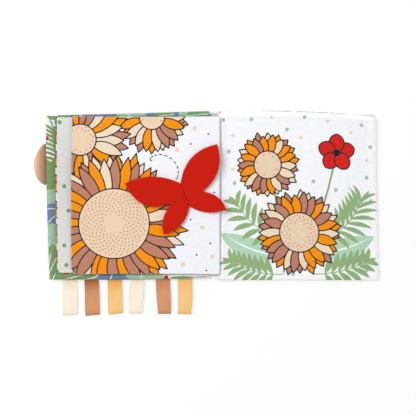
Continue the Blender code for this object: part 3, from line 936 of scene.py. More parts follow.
def border_drape(x, y, edge, height):
    """The folded border swells where no leaf lies on it, and dips to the lining inside it."""
    (left, bottom), _, (_, top), _ = quad_of("leaf_1_front_sheet", LEAF_CLEARANCE)
    clear = np.maximum(left - x, np.maximum(bottom - y, y - top))
    past = (COVER_ROLL - edge) / (cover_margin + COVER_ROLL)
    swell = np.sin(np.clip(past, 0, 1) * math.pi) ** 0.8 * ease(clear / (3 * MM) + 0.4)
    pucker = PUCKER * np.sin((x + y) / (2.3 * MM)) * np.sin((x - 2 * y) / (5.1 * MM))
    raised = np.where(past > 0, BORDER_PUFF * swell + pucker * ease(past * 3), 0)
    return height + raised + np.where(height > cover_top - 0.01 * MM, 0.06 * MM, 0)


front_cover_cloth = cut_cloth(
    "front_cover_cloth", cover_quad(), COVER_RADII, 1.0 * MM, cover_profile, border_drape,
    margin=cover_margin, face_down=True, bows=COVER_BOWS,
)
jungle(front_cover_cloth)
velour_looks = {
    "Roughness": 0.95, "Specular IOR Level": 0.15, "Sheen Weight": 0.35, "Sheen Roughness": 0.4,
}
velour = printed_cloth(
    "printed_cotton_velour", "#F3F8F4", JUNGLE_INKS,
    threads=0.06, mottle=0.26, values=velour_looks, crinkle=0.5, grain=VELOUR_TUFT,
)
dress(velour, front_cover_cloth)
tell(front_cover_cloth)

# %% [markdown]
# ## Striped lining
# Inside the border a second print shows as a sliver: outlined stripes in orange, brown and cream.
# It runs on under the leaves.

# %% Lining

STRIPE_INKS = ("amber", "tan", "ivory", "dark")
STRIPE_REACH = 96.0
STRIPE_LINE = 1.5
LINING_INSET = 7.6 * MM
LINING_DEPTH = 0.55 * MM  # how far the lining lies below the top of its node, under the border


def striped(cloth):
    """Bands of uneven width that fan a little, with dark lines between them."""
    inks = Inks(cloth, STRIPE_INKS)
    x, y = inks.places.T
    draw = random.Random(6)
    level, number = -STRIPE_REACH, 0
    while level < STRIPE_REACH:
        wide = draw.uniform(5.0, 11.5)
        middle = level + wide / 2 + x * 0.05 + 8
        inks.paint(EVERYWHERE, np.abs(y - middle) - wide / 2, STRIPE_INKS[number % 3], STRIPE_LINE)
        level += wide
        number += 1
    inks.keep()


lining_profile = flat_profile(heights_of("front_cover_lining")[1] - LINING_DEPTH)
front_lining = cut_cloth(
    "front_cover_striped_lining", cover_quad(LINING_INSET), 2.0 * MM, 1.3 * MM, lining_profile
)
striped(front_lining)
dress(printed_cloth("striped_lining_cotton", "#F2E4D0", STRIPE_INKS), front_lining)
tell(front_lining)

# %% [markdown]
# ## The right-hand page
# The inside of the back cover is padded: the page is crowned, its edges roll over and pucker a
# little at the seam. At the gutter it rises against the pile, but not under the butterfly's wings.

# %% Back cover page

PAGE_ROLL = 1.6 * MM
PAGE_TURN = 0.62  # how much of the turn round its edge the page makes
PAGE_RADIUS = 4.2 * MM
PAGE_CROWN = 1.4 * MM
CROWN_REACH = 30 * MM
PAGE_REACH = 1.2 * MM  # how far the page's soft edge goes in under leaf 2
EDGE_SWELL = 0.9 * MM
EDGE_CREASES = 0.22 * MM
GUTTER_LIFT = 2.4 * MM
GUTTER_RUN = 7.0 * MM
WINGS_Y = 20 * MM
WINGS_REACH = 52 * MM
page_low, page_top = heights_of("back_cover_page")


def crown(edge):
    """How far the padding lifts the page, from its edge in."""
    return PAGE_CROWN * (1 - (1 - np.clip(edge / CROWN_REACH, 0, 1)) ** 2)


def page_profile(edge, flat):
    inset, height, _ = roll_over(edge, PAGE_ROLL, page_top - PAGE_CROWN, page_low, PAGE_TURN)
    return inset, height + crown(edge - PAGE_ROLL)


def page_puckers(x, y, edge, height):
    """Short creases in from the seam, which fade, a swell inside them, and the gutter's rise."""
    fade = np.exp(-np.clip(edge, 0, None) / (5 * MM)) * ease((edge + 1 * MM) / (2 * MM))
    creases = np.sin((x + y) / (1.5 * MM) + 2 * np.sin((x - y) / (9 * MM)))
    swell = EDGE_SWELL * np.exp(-(((edge - 4.5 * MM) / (3 * MM)) ** 2))
    full = (height - page_low) / (page_top - page_low)
    off_wings = 1 - np.exp(-(((y - WINGS_Y) / WINGS_REACH) ** 4))
    swell = swell + GUTTER_LIFT * full * off_wings * np.exp(-np.clip(x, 0, None) / GUTTER_RUN)
    waves = ripple(x, y) * ease(edge / (12 * MM)) * 1.6
    return height + EDGE_CREASES * creases * fade + swell + waves


page_arc = math.pi * (PAGE_ROLL + (page_top - PAGE_CROWN - page_low) / 2) / 2
page_corners = page_quad("back_cover_page")
for corner in (0, 3):
    page_corners[corner][0] -= PAGE_REACH
back_page = cut_cloth(
    "back_cover_page_cloth", page_corners, PAGE_RADIUS, 0.85 * MM, page_profile, page_puckers,
    margin=page_arc * PAGE_TURN - PAGE_ROLL, bows=PAGE_BOWS,
)
tell(back_page)

# %% [markdown]
# The print has palms, broad leaves, two sunflowers and a red poppy, with dots between. Along its
# rolled edge the ground is painted whiter, a painted highlight where the roll catches the light.

# %% Right page's print

RIGHT_PAGE_INKS = (
    "white", "leaf", "mint", "green", "pale", "orange",
    "terracotta", "beige", "cream", "peach", "red", "dark",
)
# how far in from the cut's edge the painted highlight reaches, and how softly it fades, in mm
HIGHLIGHT_EDGE = 5.5
HIGHLIGHT_FADE = 12.0
GREEN_DOTS = (
    (4, 76), (33, 76), (88, 79), (147, 74), (70, 66), (156, 52), (10, 44), (152, 20), (97, 14),
    (120, 6), (156, -4), (40, -78), (75, -80), (92, -76), (150, -76), (16, 12), (60, -4),
)
PEACH_DOTS = (
    (54, 78), (112, 76), (136, 66), (14, 60), (84, 58),
    (152, 38), (14, 26), (134, 8), (26, -79), (118, -80),
)
inks = Inks(back_page, RIGHT_PAGE_INKS)
places = inks.places
from_edge = np.minimum(places - places.min(0), places.max(0) - places).min(axis=1)
# Painted highlight: the ground is painted white along the rolled edge.
inks.paint(EVERYWHERE, (from_edge - HIGHLIGHT_EDGE) / HIGHLIGHT_FADE, "white")
inks.dots(GREEN_DOTS, 2.0, "pale")
inks.dots(PEACH_DOTS, 1.7, "peach")
broad_leaf(inks, (64, -62), (3, -40), 22, "mint", 4)
broad_leaf(inks, (98, -58), (157, -42), 22, "mint", -4)
palm(inks, (60, -44), (18, -8), "leaf", 5, 6, 6.5, 21)
palm(inks, (104, -44), (146, -2), "leaf", -8, 8, 5.5, 23)
palm(inks, (66, -80), (12, -66), "leaf", 5, 8, 6, 19)
palm(inks, (96, -80), (150, -66), "leaf", -4, 7, 7, 21)
inks.stroke([(66, -78), (62, -30), (56, 10), (50, 26)], 1.8, "green")
inks.stroke([(92, -78), (98, -40), (112, 6), (118, 30)], 1.8, "green")
sunflower(inks, (50, 30), 14, 33, 18, ("orange", "terracotta", "cream"), 12)
sunflower(inks, (82, -38), 20, 43, 22, ("terracotta", "orange", "cream"), 17)
poppy(inks, (121, 44), 19, "red")
inks.keep()
right_page_cotton = printed_cloth(
    "printed_page_cotton_right", "#F6F7FB", RIGHT_PAGE_INKS, crinkle=0.45
)
dress(right_page_cotton, back_page)
print("right page's inks:", RIGHT_PAGE_INKS)

# %% [markdown]
# ## Back cover's outside and spine
# The outer cloth of the back cover is a shallow tray under the page. The spine joins the covers:
# its cloth must bend when a cover turns, so it is made as two strips that meet on the middle line.
# The lining over it swells at its two open ends, where the pile lets it go.

# %% Back cover cloth and spine

TRAY_SHOWS = np.array((0, 0, 0.4, 0)) * MM  # above its top edge the tray shows past the page
TRAY_TURN = 0.5
SPINE_PITCH = 0.8 * MM
LINING_LIFT = 5.0 * MM
LINING_RUN = 8.0 * MM
LINING_WAVE = 0.12 * MM
tray_low, tray_top = heights_of("back_cover_outer")


def tray_profile(edge, flat):
    return roll_over(edge, PAGE_ROLL, tray_low, 2 * tray_top, TRAY_TURN)[:2]


def lining_swell(x, y, edge, height):
    (_, bottom), _, (_, top), _ = quad_of("spine_lining")
    end = np.minimum(y - bottom, top - y)
    return height + LINING_LIFT * ease(1 - end / LINING_RUN) + LINING_WAVE * np.sin(y / (2.6 * MM))


back_cover_cloth = cut_cloth(
    "back_cover_cloth", page_quad("back_cover_outer"), PAGE_RADIUS, 1.1 * MM, tray_profile,
    margin=math.pi * (PAGE_ROLL + tray_top) / 2 * TRAY_TURN - PAGE_ROLL, face_down=True,
    bows=PAGE_BOWS + TRAY_SHOWS,
)
(spine_left, spine_bottom), (spine_right, _), (_, spine_top), _ = quad_of("spine_outer")
spine_profile = flat_profile(heights_of("spine_outer")[0])
spine_halves = {"spine_left_cloth": (spine_left, 0.0), "spine_right_cloth": (0.0, spine_right)}
spine_strips = []
for name, (left, right) in spine_halves.items():
    corners = [[left, spine_bottom], [right, spine_bottom], [right, spine_top], [left, spine_top]]
    strip = cut_cloth(name, corners, 0.8 * MM, SPINE_PITCH, spine_profile, face_down=True)
    spine_strips.append(strip)
spine_lining = cut_cloth(
    "spine_lining_cloth", quad_of("spine_lining"), 1.2 * MM, SPINE_PITCH,
    flat_profile(heights_of("spine_lining")[1]), lining_swell,
)
for cloth in (back_cover_cloth, *spine_strips):
    jungle(cloth)
dress(velour, back_cover_cloth, *spine_strips)
dress(printed_cloth("white_lining_cotton", "#F2F3F6", ()), spine_lining)
tell(back_cover_cloth, *spine_strips, spine_lining)

# %% [markdown]
# ## Wadding
# Each cover holds a sheet of bonded polyester wadding: white, springy, without any gloss. Strands
# of hair could make it, but it is hidden, so a slab laid like a thick cloth is enough, with a bump
# of tangled fibres. Single ones are too fine to show. The back cover's wadding lies on its own
# film.

# %% Wadding and back cover film

WADDING_INSET = 2.6 * MM
WADDING_RADIUS = 3.0 * MM
WADDING_PITCH = 2.4 * MM
WADDING_GAP = 0.35 * MM
WADDING_FIBRE = MM / 0.7  # from one tangle of fibres to the next
BACK_PAD = 1.0 * MM
BACK_PAD_TOP = 1.2 * MM  # above the bottom of its node
MATT = {"Roughness": 1.0, "Specular IOR Level": 0.1}


def tapered(x, y, edge, height):
    """The pad gets thinner towards the seam."""
    return height - 0.5 * MM * np.exp(-edge / (3 * MM))


low, high = heights_of("front_cover_wadding")
front_wadding = cut_cloth(
    "front_cover_filling", cover_quad(WADDING_INSET), WADDING_RADIUS, WADDING_PITCH,
    flat_profile(high - WADDING_GAP), tapered, thick=high - low - 2 * WADDING_GAP,
)
low, high = heights_of("back_cover_wadding")
back_wadding = cut_cloth(
    "back_cover_filling", page_quad("back_cover_page", WADDING_INSET), WADDING_RADIUS,
    WADDING_PITCH, lambda edge, flat: (edge, low + BACK_PAD_TOP + crown(edge)), thick=BACK_PAD,
)
back_film = cut_cloth(
    "back_cover_crinkle_film_sheet", quad_of("back_cover_crinkle_film"), FILM_RADIUS, FILM_PITCH,
    flat_profile(heights_of("back_cover_crinkle_film")[1]), thick=FILM,
)


def tangle(tree, place):
    sockets = {"Vector": place, "Scale": 1 / WADDING_FIBRE, "Detail": 5.0, "Distortion": 2.0}
    return None, {"Height": add(tree, "TexNoise", sockets)}


wadding_looks = {**MATT, "Base Color": linear("#F4F4F2")}
wadding = finish_of("polyester_wadding", wadding_looks, tangle, 0.8, 0.8 * MM)
dress(wadding, front_wadding, back_wadding)
dress(film_finish, back_film)
tell(front_wadding, back_wadding, back_film)

# %% [markdown]
# ## Binding tape
# A folded cotton tape lies between the cover and leaf 1 and takes the stitches that hold the
# leaves. It starts as a block at the node's size, whose long edges are bevelled round. It could be
# cut and folded like the pages, but it lies hidden. Its weave is matt, and deeper than that of the
# pages.

# %% Binding

TAPE_THREAD = 0.8 * MM
low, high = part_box("leaf_binding")
add_cube = bpy.ops.mesh.primitive_cube_add
binding = start_piece("leaf_binding_tape", add_cube, size=1, location=(low + high) / 2)
bpy.ops.transform.resize(value=high - low)
bpy.ops.object.transform_apply(location=True, rotation=False, scale=True)
apply_modifier(binding, "BEVEL", width=0.8 * MM, segments=4)
smooth(binding)
tape_looks = {"Base Color": linear("#E9E8E4"), "Roughness": 0.9, "Specular IOR Level": 0.2}
tape_cotton = finish_of(
    "cotton_binding_tape", tape_looks,
    lambda tree, place: (None, {"Height": woven(tree, place, TAPE_THREAD, "ADD")}), 0.5, 0.2 * MM,
)
dress(tape_cotton, binding)
tell(binding)

# %% [markdown]
# ## Felt butterfly
# Pressed wool felt, about 1.5 mm thick, cut with shears: its faces are a mat of fibres, its cut
# edge is a little lighter and soft. The CAD outline is kept by copying the node, and a fine voxel
# remesh makes even faces with softened edges, which the curl of the wings and the nap then move.

# %% Copies of CAD nodes


def copy_of(node, name):
    """A new piece with a copy of a CAD node's mesh, its loose triangles merged."""
    piece = bpy.data.objects.new(name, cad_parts[node].data.copy())
    bpy.context.scene.collection.objects.link(piece)
    edit_all(piece, bpy.ops.mesh.remove_doubles, threshold=1e-6)
    return piece


def nap(piece, strength, grain):
    """Pushes the surface in and out a little with a cloud texture."""
    clouds = bpy.data.textures.new(piece.name + "_nap", "CLOUDS")
    clouds.noise_scale = grain
    settings = {"strength": strength, "mid_level": 0.5, "texture_coords": "LOCAL"}
    apply_modifier(piece, "DISPLACE", texture=clouds, **settings)


# %% Felt pieces

FELT_VOXEL = 0.55 * MM
CREASE_TOP = np.array((-40.1, 13.7)) * MM
CREASE_BOTTOM = np.array((-30.8, -10.6)) * MM
CREASE_GAP = 0.42 * MM
CREASE_RISE = 1.5 * MM
WING_REACH = 60 * MM
FELT_FIBRE = MM / 1.5  # a clump of fibres, because single ones are too fine to show
FELT_CLOUD = MM / 0.12  # the dye's uneven patches, about 8 mm wide
crease = CREASE_TOP - CREASE_BOTTOM


def felt_piece(node, name, curl):
    """A copy of the node in even felt; a wing's tip moves up or down by `curl`."""
    piece = copy_of(node, name)
    apply_modifier(piece, "REMESH", mode="VOXEL", voxel_size=FELT_VOXEL, use_smooth_shade=True)
    apply_modifier(piece, "SMOOTH", factor=0.5, iterations=2)
    points = points_of(piece)
    along = crease / np.linalg.norm(crease)
    away = (points[:, :2] - CREASE_BOTTOM) @ np.array((along[1], -along[0]))
    points[:, 2] += curl * (away / WING_REACH) ** 2
    put_points(piece, points)
    nap(piece, 0.12 * MM, 1.1 * MM)
    smooth(piece, 60)
    return piece


def fill_crease(strip):
    """A low ridge of the strip's felt between the wings, so that no gap shows at the sewn line."""
    low, high = heights_of("butterfly_body")
    ridge = start_piece("crease_ridge", bpy.ops.mesh.primitive_cube_add, size=1)
    ridge.scale = (np.linalg.norm(crease) - 1 * MM, CREASE_GAP, CREASE_RISE + high - low)
    ridge.rotation_euler = (0, 0, math.atan2(crease[1], crease[0]))
    ridge.location = (*(CREASE_TOP + CREASE_BOTTOM) / 2, (low + high + CREASE_RISE) / 2)
    pick(ridge)
    bpy.ops.object.transform_apply(location=True, rotation=True, scale=True)
    apply_modifier(ridge, "BEVEL", width=0.08 * MM, segments=2)
    strip.select_set(True)
    bpy.context.view_layer.objects.active = strip
    bpy.ops.object.join()


def matted(tree, place):
    """Fibres with a slightly uneven dye."""
    sockets = {"Vector": place, "Scale": 1 / FELT_FIBRE, "Detail": 4.0, "Distortion": 1.5}
    fibres = add(tree, "TexNoise", sockets)
    clouds = add(tree, "TexNoise", {"Vector": place, "Scale": 1 / FELT_CLOUD, "Detail": 2.0})
    red = layered_inks_dyes_and_painted_light(tree, "#C01B0B", ((clouds, "#C9200F"), (fibres, "#C41D0D")))
    return red, {"Height": fibres}


felt_looks = {**MATT, "Sheen Weight": 0.15, "Sheen Roughness": 0.6, "Sheen Tint": linear("#FF5040")}
felt = finish_of("pressed_wool_felt", felt_looks, matted, 0.5, 0.25 * MM)
left_wings = felt_piece("butterfly_left_wings", "butterfly_left_felt", -1.4 * MM)
right_wings = felt_piece("butterfly_right_wings", "butterfly_right_felt", 1.35 * MM)
body_strip = felt_piece("butterfly_body", "butterfly_body_felt", 0.0)
fill_crease(body_strip)
dress(felt, left_wings, right_wings, body_strip)
tell(left_wings, right_wings, body_strip)

# %% [markdown]
# ## Plush ear
# Two half rounds of short-pile plush, sewn face to face and turned. The pile is soft and matt. Its
# colour has a painted highlight along the outer rim, where the fibres catch the light, and painted
# shade that darkens it towards the cover. The ear's upper half leans towards the cover, as it does
# when its seam pulls.

# %% Ear

EAR_LEAN_SHARE = 0.24  # of the way from each point to the seam
# of the ear's width from its outer edge, where the painted highlight has faded into the plush's tan
EAR_HIGHLIGHT_SHARE = 0.35
TUFT = MM / 0.9  # coarser than real tufts, which are too fine to show
ear_low, ear_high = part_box("ear_front")


def ear_piece(node, name):
    piece = copy_of(node, name)
    points = points_of(piece)
    upper = ease((points[:, 1] - (ear_low.y + ear_high.y) / 2) / (ear_high.y - ear_low.y) * 2)
    points[:, 0] += EAR_LEAN_SHARE * (ear_high.x - points[:, 0]) * upper
    put_points(piece, points)
    apply_modifier(piece, "SUBSURF", levels=3, render_levels=3)
    nap(piece, 0.3 * MM, 1.2 * MM)
    smooth(piece, 80)
    return piece


def piled(tree, place):
    """Tufts on the plush's tan, with a painted highlight along the outer edge and painted shade
    towards the seam.
    """
    across = add(tree, "SeparateXYZ", {0: place})
    middle = ear_low.x + EAR_HIGHLIGHT_SHARE * (ear_high.x - ear_low.x)
    rim = add(tree, "MapRange", {0: across, 1: ear_low.x, 2: middle})
    root = add(tree, "MapRange", {0: across, 1: middle, 2: ear_high.x})
    tufts = add(tree, "TexNoise", {"Vector": place, "Scale": 1 / TUFT, "Detail": 3.0})
    # The outer edge's #E9CDB8 is a painted highlight, #CFA486 is the plush's own tan, and #A4785C at
    # the seam is painted shade
    tan_with_painted_light = layered_inks_dyes_and_painted_light(tree, "#E9CDB8", ((rim, "#CFA486"), (root, "#A4785C")))
    shaggy = add(tree, "MapRange", {0: tufts, 1: 0.3, 2: 0.7, 3: 0.88, 4: 1.06})
    shaded = {0: 1.0, 6: tan_with_painted_light, 7: shaggy}
    return add(tree, "Mix", shaded, 2, data_type="RGBA", blend_type="MULTIPLY"), {"Height": tufts}


plush_looks = {
    **MATT, "Sheen Weight": 0.5, "Sheen Roughness": 0.35, "Sheen Tint": linear("#F0D0B4"),
}
plush = finish_of("short_pile_plush", plush_looks, piled, 0.7, 0.5 * MM)
ear_front = ear_piece("ear_front", "ear_front_plush")
ear_back = ear_piece("ear_back", "ear_back_plush")
dress(plush, ear_front, ear_back)
tell(ear_front, ear_back)

# %% [markdown]
# ## Satin ribbon tags
# Each tag is a strip of satin ribbon, folded in half, with both ends in the seam. Satin's long
# floats run along the strip, so light is drawn out across it in fine streaks. A grid is wrapped
# along the hairpin, with a slight wave, and the loop is puffed a little near its fold.

# %% Satin ribbon

STREAK = MM / 0.9  # many floats side by side, because single ones are too fine to show
STREAK_SHARE = 0.03  # the streaks are drawn out along the strip to about 30 times their width
# The bright streaks are painted highlights; each satin's third colour is painted shade at the seam
# and the fold, and it darkens the edges too.
RIBBON_COLOURS = {  # each satin's base, its bright streaks, and its shade at seam, fold and edges
    "cream": ("#F7E8D0", "#FBF0DF", "#E8D0AE"),
    "brown": ("#CE8A5B", "#DA9E72", "#A9561F"),
    "gold": ("#F2BF76", "#F6CB8C", "#E8A136"),
}


def satin(name, base, painted_highlight, deep):
    """Satin with streaks along the strip, which bump it and are painted lighter as highlights;
    painted shade darkens it at the seam and at the fold, and its edges are darker.
    """

    def streaked(tree, place):
        drawn = add(tree, "Mapping", {"Vector": place, "Scale": (1.0, STREAK_SHARE, 1.0)})
        streaks = add(tree, "TexNoise", {"Vector": drawn, "Scale": 1 / STREAK, "Detail": 4.0})
        shade = add(tree, "Attribute", output="Fac", attribute_name="shade")
        # the streaks paint lighter highlights, and deep is the colour of the painted shade
        return layered_inks_dyes_and_painted_light(tree, base, ((streaks, painted_highlight), (shade, deep))), {"Height": streaks}

    looks = {"Roughness": 0.42, "Specular IOR Level": 0.35}
    looks.update({"Sheen Weight": 0.15, "Anisotropic": 0.5})
    return finish_of(name, looks, streaked, 0.25, 0.12 * MM, "UV")


SATINS = {key: satin(key + "_polyester_satin", *colour_layers) for key, colour_layers in RIBBON_COLOURS.items()}
print("satins:", ", ".join(SATINS))

# %% Ribbon loops

RIBBON = 0.3 * MM
ROOT_RISE = 0.5 * MM  # how far above its node's middle the tag leaves the seam
RIBBON_HALF = 0.6 * MM  # half the hairpin's height
ROOT_HALF = 0.22 * MM  # half the gap between the two ends in the seam
LOOP_PUFF = 0.5 * MM
LOOP_SWAY = 0.5 * MM
LOOP_WAVE = 0.35 * MM
TAG_COLOURS = ("cream", "brown", "gold", "cream", "brown", "gold")
# the strength of the painted shade at each tag's seam
TAG_SHADES = (0.6, 0.95, 0.85, 0.35, 0.35, 0.4)  # how deep each tag is shaded at the seam
# In mm: how much lower a tag's left and right corners hang, and how far its right side turns in
TAG_ENDS = (
    (1.0, 0.1, 0.0), (1.6, 0.3, 0.0), (0.4, -1.0, 0.0),
    (-0.6, -0.7, 1.3), (-0.1, 0.0, 1.5), (0.3, 0.5, 1.2),
)


def ribbon_edges(node):
    """The left and right edges' X at the seam, the left one's at the fold, and both ends' Y."""
    points = points_of(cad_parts[node])
    low, high = points[:, 1].min(), points[:, 1].max()
    top = points[points[:, 1] > high - 0.5 * MM]
    bottom = points[points[:, 1] < low + 0.5 * MM]
    return top[:, 0].min(), top[:, 0].max(), bottom[:, 0].min(), high, low


def ribbon_piece(number, colour):
    node = f"ribbon_{number}"
    left, right, left_end, high, low = ribbon_edges(node)
    floor, seam = heights_of(node)
    drop = high - low - RIBBON_HALF
    long = 2 * drop + math.pi * RIBBON_HALF
    grid = {"x_subdivisions": 20, "y_subdivisions": 130, "size": 2}
    piece = start_piece(f"ribbon_loop_{number}", bpy.ops.mesh.primitive_grid_add, **grid)
    across, run = (points_of(piece)[:, :2].T + 1) / 2
    run = run * long
    keep_cut(piece, np.column_stack([across * (right - left), run]))
    back = run > drop + math.pi * RIBBON_HALF
    turn = np.clip((run - drop) / RIBBON_HALF, 0, math.pi)
    down = np.where(back, long - run, np.minimum(run, drop)) / drop
    upper = np.cos(turn) > 0
    left_spare, right_spare, turned_in = np.array(TAG_ENDS[number - 1]) * MM
    x = left + (left_end - left) * down + across * (right - left)
    x += LOOP_SWAY * np.sin(down * 3.0 + number) * np.sin(down * math.pi / 2)
    x -= turned_in * across * down**2
    y = high - drop * down - RIBBON_HALF * np.sin(turn)
    y -= (left_spare + (right_spare - left_spare) * across) * down
    root = (seam + floor) / 2 + ROOT_RISE
    middle = root + (floor + RIBBON_HALF + RIBBON - root) * np.sin(down * math.pi / 2)
    gap = ROOT_HALF + (RIBBON_HALF - ROOT_HALF) * ease(down * 1.4)
    gap = gap + LOOP_PUFF * np.sin(np.clip(down, 0, 1) * math.pi) ** 2 * upper
    wave = LOOP_WAVE * np.sin(across * 3.1 + number) * np.sin(down * math.pi)
    z = np.maximum(middle + gap * np.cos(turn) + wave * upper, floor + RIBBON)
    put_points(piece, np.column_stack([x, y, z]))
    # Painted shade: darker at the seam and at the fold, where shade falls; the edges are darker too.
    painted_seam_shade = TAG_SHADES[number - 1] * np.exp(-((down / 0.3) ** 2))
    painted_fold_shade = 0.5 * np.exp(-(1 - down) / 0.06)
    darker_edges = 0.35 * np.exp(-np.minimum(across, 1 - across) / 0.05)
    keep_number(piece, "shade", np.maximum(np.maximum(painted_seam_shade, painted_fold_shade), darker_edges))
    apply_modifier(piece, "SOLIDIFY", thickness=RIBBON, offset=-1)
    smooth(piece, 60)
    dress(SATINS[colour], piece)
    piece["flat_size"] = [right - left, long]
    return piece


ribbons = [ribbon_piece(number + 1, colour) for number, colour in enumerate(TAG_COLOURS)]
print("ribbons:", [round(r["flat_size"][1] / MM, 1) for r in ribbons], "mm long")

# %% [markdown]
# ## Stitches
# Overlock stitches close each leaf's edge and give it its small scallops. One stitch is modelled as
# a bead of thread, a sphere drawn long, and copied round the edge by the same lay function that
# laid the cloth, so that every stitch lies on it.

# %% Stitches

STITCH_LONG = 1.3 * MM
STITCH_STEP = 1.9 * MM
THREAD_THICK = 0.42 * MM
TWIST = MM / 0.9  # a wave repeats about three times in this length


def overlock(name, sheet):
    """Stitches across a sheet's edge, all round it, as one object."""
    lay, size = LAYS[sheet]
    (left, low), (right, top) = (SEAM_HEM, SEAM_HEM), size - SEAM_HEM
    path = np.array([(left, low), (right, low), (right, top), (left, top), (left, low)])
    ball = {"segments": 6, "ring_count": 5, "radius": 1}
    model = start_piece("stitch", bpy.ops.mesh.primitive_uv_sphere_add, **ball)
    bead = points_of(model) * (STITCH_LONG / 2, THREAD_THICK / 2, THREAD_THICK / 2)
    faces = sorted(list(face.vertices) for face in model.data.polygons)  # Blender's order varies
    all_points, all_faces = [], []
    for start, end in zip(path[:-1], path[1:]):
        long = np.linalg.norm(end - start)
        inward = np.array((start[1] - end[1], end[0] - start[0])) / long
        count = int(long / STITCH_STEP)
        for number in range(count):
            middle = start + (end - start) * (number + 0.5) / count
            here, there = lay(np.array([middle, middle + inward * STITCH_STEP / 2]))[0]
            along = (there - here) / np.linalg.norm(there - here)
            across = np.cross((0, 0, 1), along)
            side = across / np.linalg.norm(across)
            turn = np.column_stack([along, side, np.cross(along, across)])
            base = len(all_points) * len(bead)
            all_points.append(bead @ turn.T + here)
            all_faces += [[base + corner for corner in face] for face in faces]
    mesh = bpy.data.meshes.new(name)
    mesh.from_pydata(np.concatenate(all_points).tolist(), [], all_faces)
    bpy.data.objects.remove(model)
    piece = bpy.data.objects.new(name, mesh)
    bpy.context.scene.collection.objects.link(piece)
    smooth(piece, 180)
    return piece


def thread_finish(name, colour):
    """Spun polyester thread: a soft shine, and a fine twist along it."""

    def twisted(tree, place):
        sockets = {"Vector": place, "Scale": 1 / TWIST}
        return None, {"Height": add(tree, "TexWave", sockets, 1, bands_direction="DIAGONAL")}

    looks = {"Base Color": linear(colour), "Roughness": 0.55, "Sheen Weight": 0.2}
    return finish_of(name, looks, twisted, 0.3, 0.1 * MM)


sage_thread = thread_finish("sage_sewing_thread", "#CDD5BC")
white_thread = thread_finish("white_sewing_thread", "#F3F3F5")
leaf_2_stitches = overlock("leaf_2_overlock", "leaf_2_front_cloth")
leaf_1_stitches = overlock("leaf_1_overlock", "leaf_1_front_cloth")
dress(sage_thread, leaf_2_stitches)
dress(white_thread, leaf_1_stitches)
tell(leaf_2_stitches, leaf_1_stitches)

# %% [markdown]
# ## Who moves with what
# Every piece that sits on one CAD body rides on it, and the CAD node that it stands for is hidden.
# Where the real cloth bends, across the covers' joints for the spine's strips and just past their
# seam for the ear and the tags, the table gives the two bodies and two points of the bend; these
# pieces ride on no body, and their place is applied to their mesh. Each sheet and pad keeps the size
# that it was cut to.

# %% Riding

EAR_BEND = 7 * MM
TAG_BEND = 5 * MM
SPINE_SEAM = 1.8 * MM  # the narrow strips were cut this much wider, for the seam under a cover
left_strip, right_strip = spine_strips
left_bend = ("front_cover", "spine_and_leaf_1", (spine_left, 0, 0), (-5 * MM, 0, 0))
right_bend = ("spine_and_leaf_1", "back_cover", (0.5 * MM, 0, 0), (spine_right, 0, 0))
ear_bend = ("front_cover", "ear", (ear_high.x, 0, 0), (ear_high.x - EAR_BEND, 0, 0))
sheets = [  # piece, the body or the bend that carries it, slot, node, and how it is held
    (leaf_1_front, "spine_and_leaf_1", "page_cotton", "leaf_1_front_sheet", "stretched"),
    (leaf_1_back, "spine_and_leaf_1", "page_cotton", "leaf_1_back_sheet", "stretched"),
    (leaf_2_front, "leaf_2", "page_cotton", "leaf_2_front_sheet", "stretched"),
    (leaf_2_back, "leaf_2", "page_cotton", "leaf_2_back_sheet", "stretched"),
    (front_cover_cloth, "front_cover", "printed_velour", "front_cover_outer", "folded"),
    (front_lining, "front_cover", "striped_cotton", "front_cover_lining", "stretched"),
    (back_cover_cloth, "back_cover", "printed_velour", "back_cover_outer", "folded"),
    (back_page, "back_cover", "page_cotton", "back_cover_page", "folded"),
    (left_strip, left_bend, "printed_velour", "spine_outer", "stretched"),
    (right_strip, right_bend, "printed_velour", "spine_outer", "stretched"),
    (spine_lining, "spine_and_leaf_1", "page_cotton", "spine_lining", "stretched"),
    (leaf_1_film, "spine_and_leaf_1", "crinkle_film", "leaf_1_crinkle_film", "laid"),
    (leaf_2_film, "leaf_2", "crinkle_film", "leaf_2_crinkle_film", "laid"),
    (back_film, "back_cover", "crinkle_film", "back_cover_crinkle_film", "laid"),
]
for number, (ribbon, colour) in enumerate(zip(ribbons, TAG_COLOURS), 1):
    seam_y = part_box(f"ribbon_{number}")[1].y
    tag_bend = ("front_cover", f"ribbon_tag_{number}", (0, seam_y, 0), (0, seam_y - TAG_BEND, 0))
    sheets.append((ribbon, tag_bend, colour + "_satin", f"ribbon_{number}", "folded"))
others = [
    (binding, "spine_and_leaf_1", "binding_tape", "leaf_binding"),
    (leaf_1_stitches, "spine_and_leaf_1", "page_cotton", None),
    (leaf_2_stitches, "leaf_2", "page_cotton", None),
    (body_strip, "leaf_2", "red_felt", "butterfly_body"),
    (left_wings, "left_wings", "red_felt", "butterfly_left_wings"),
    (right_wings, "right_wings", "red_felt", "butterfly_right_wings"),
    (front_wadding, "front_cover", "wadding", "front_cover_wadding"),
    (back_wadding, "back_cover", "wadding", "back_cover_wadding"),
    (ear_front, ear_bend, "tan_plush", "ear_front"),
    (ear_back, ear_bend, "tan_plush", "ear_back"),
]
for piece, carrier, slot, node in [row[:4] for row in sheets] + others:
    if isinstance(carrier, str):
        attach(piece, carrier)
    else:
        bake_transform(piece)
    if node:
        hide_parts(node)
print("pieces that ride or bend:", len(sheets) + len(others))

# %% [markdown]
# A sheet keeps its size as it was cut: the spine's strips and lining are wider by the seam under a
# cover.

# %% Sheets and pads

for strip in (left_strip, right_strip, spine_lining):
    strip["flat_size"] = [strip["flat_size"][0] + SPINE_SEAM, strip["flat_size"][1]]
print("sheets:", len(sheets))

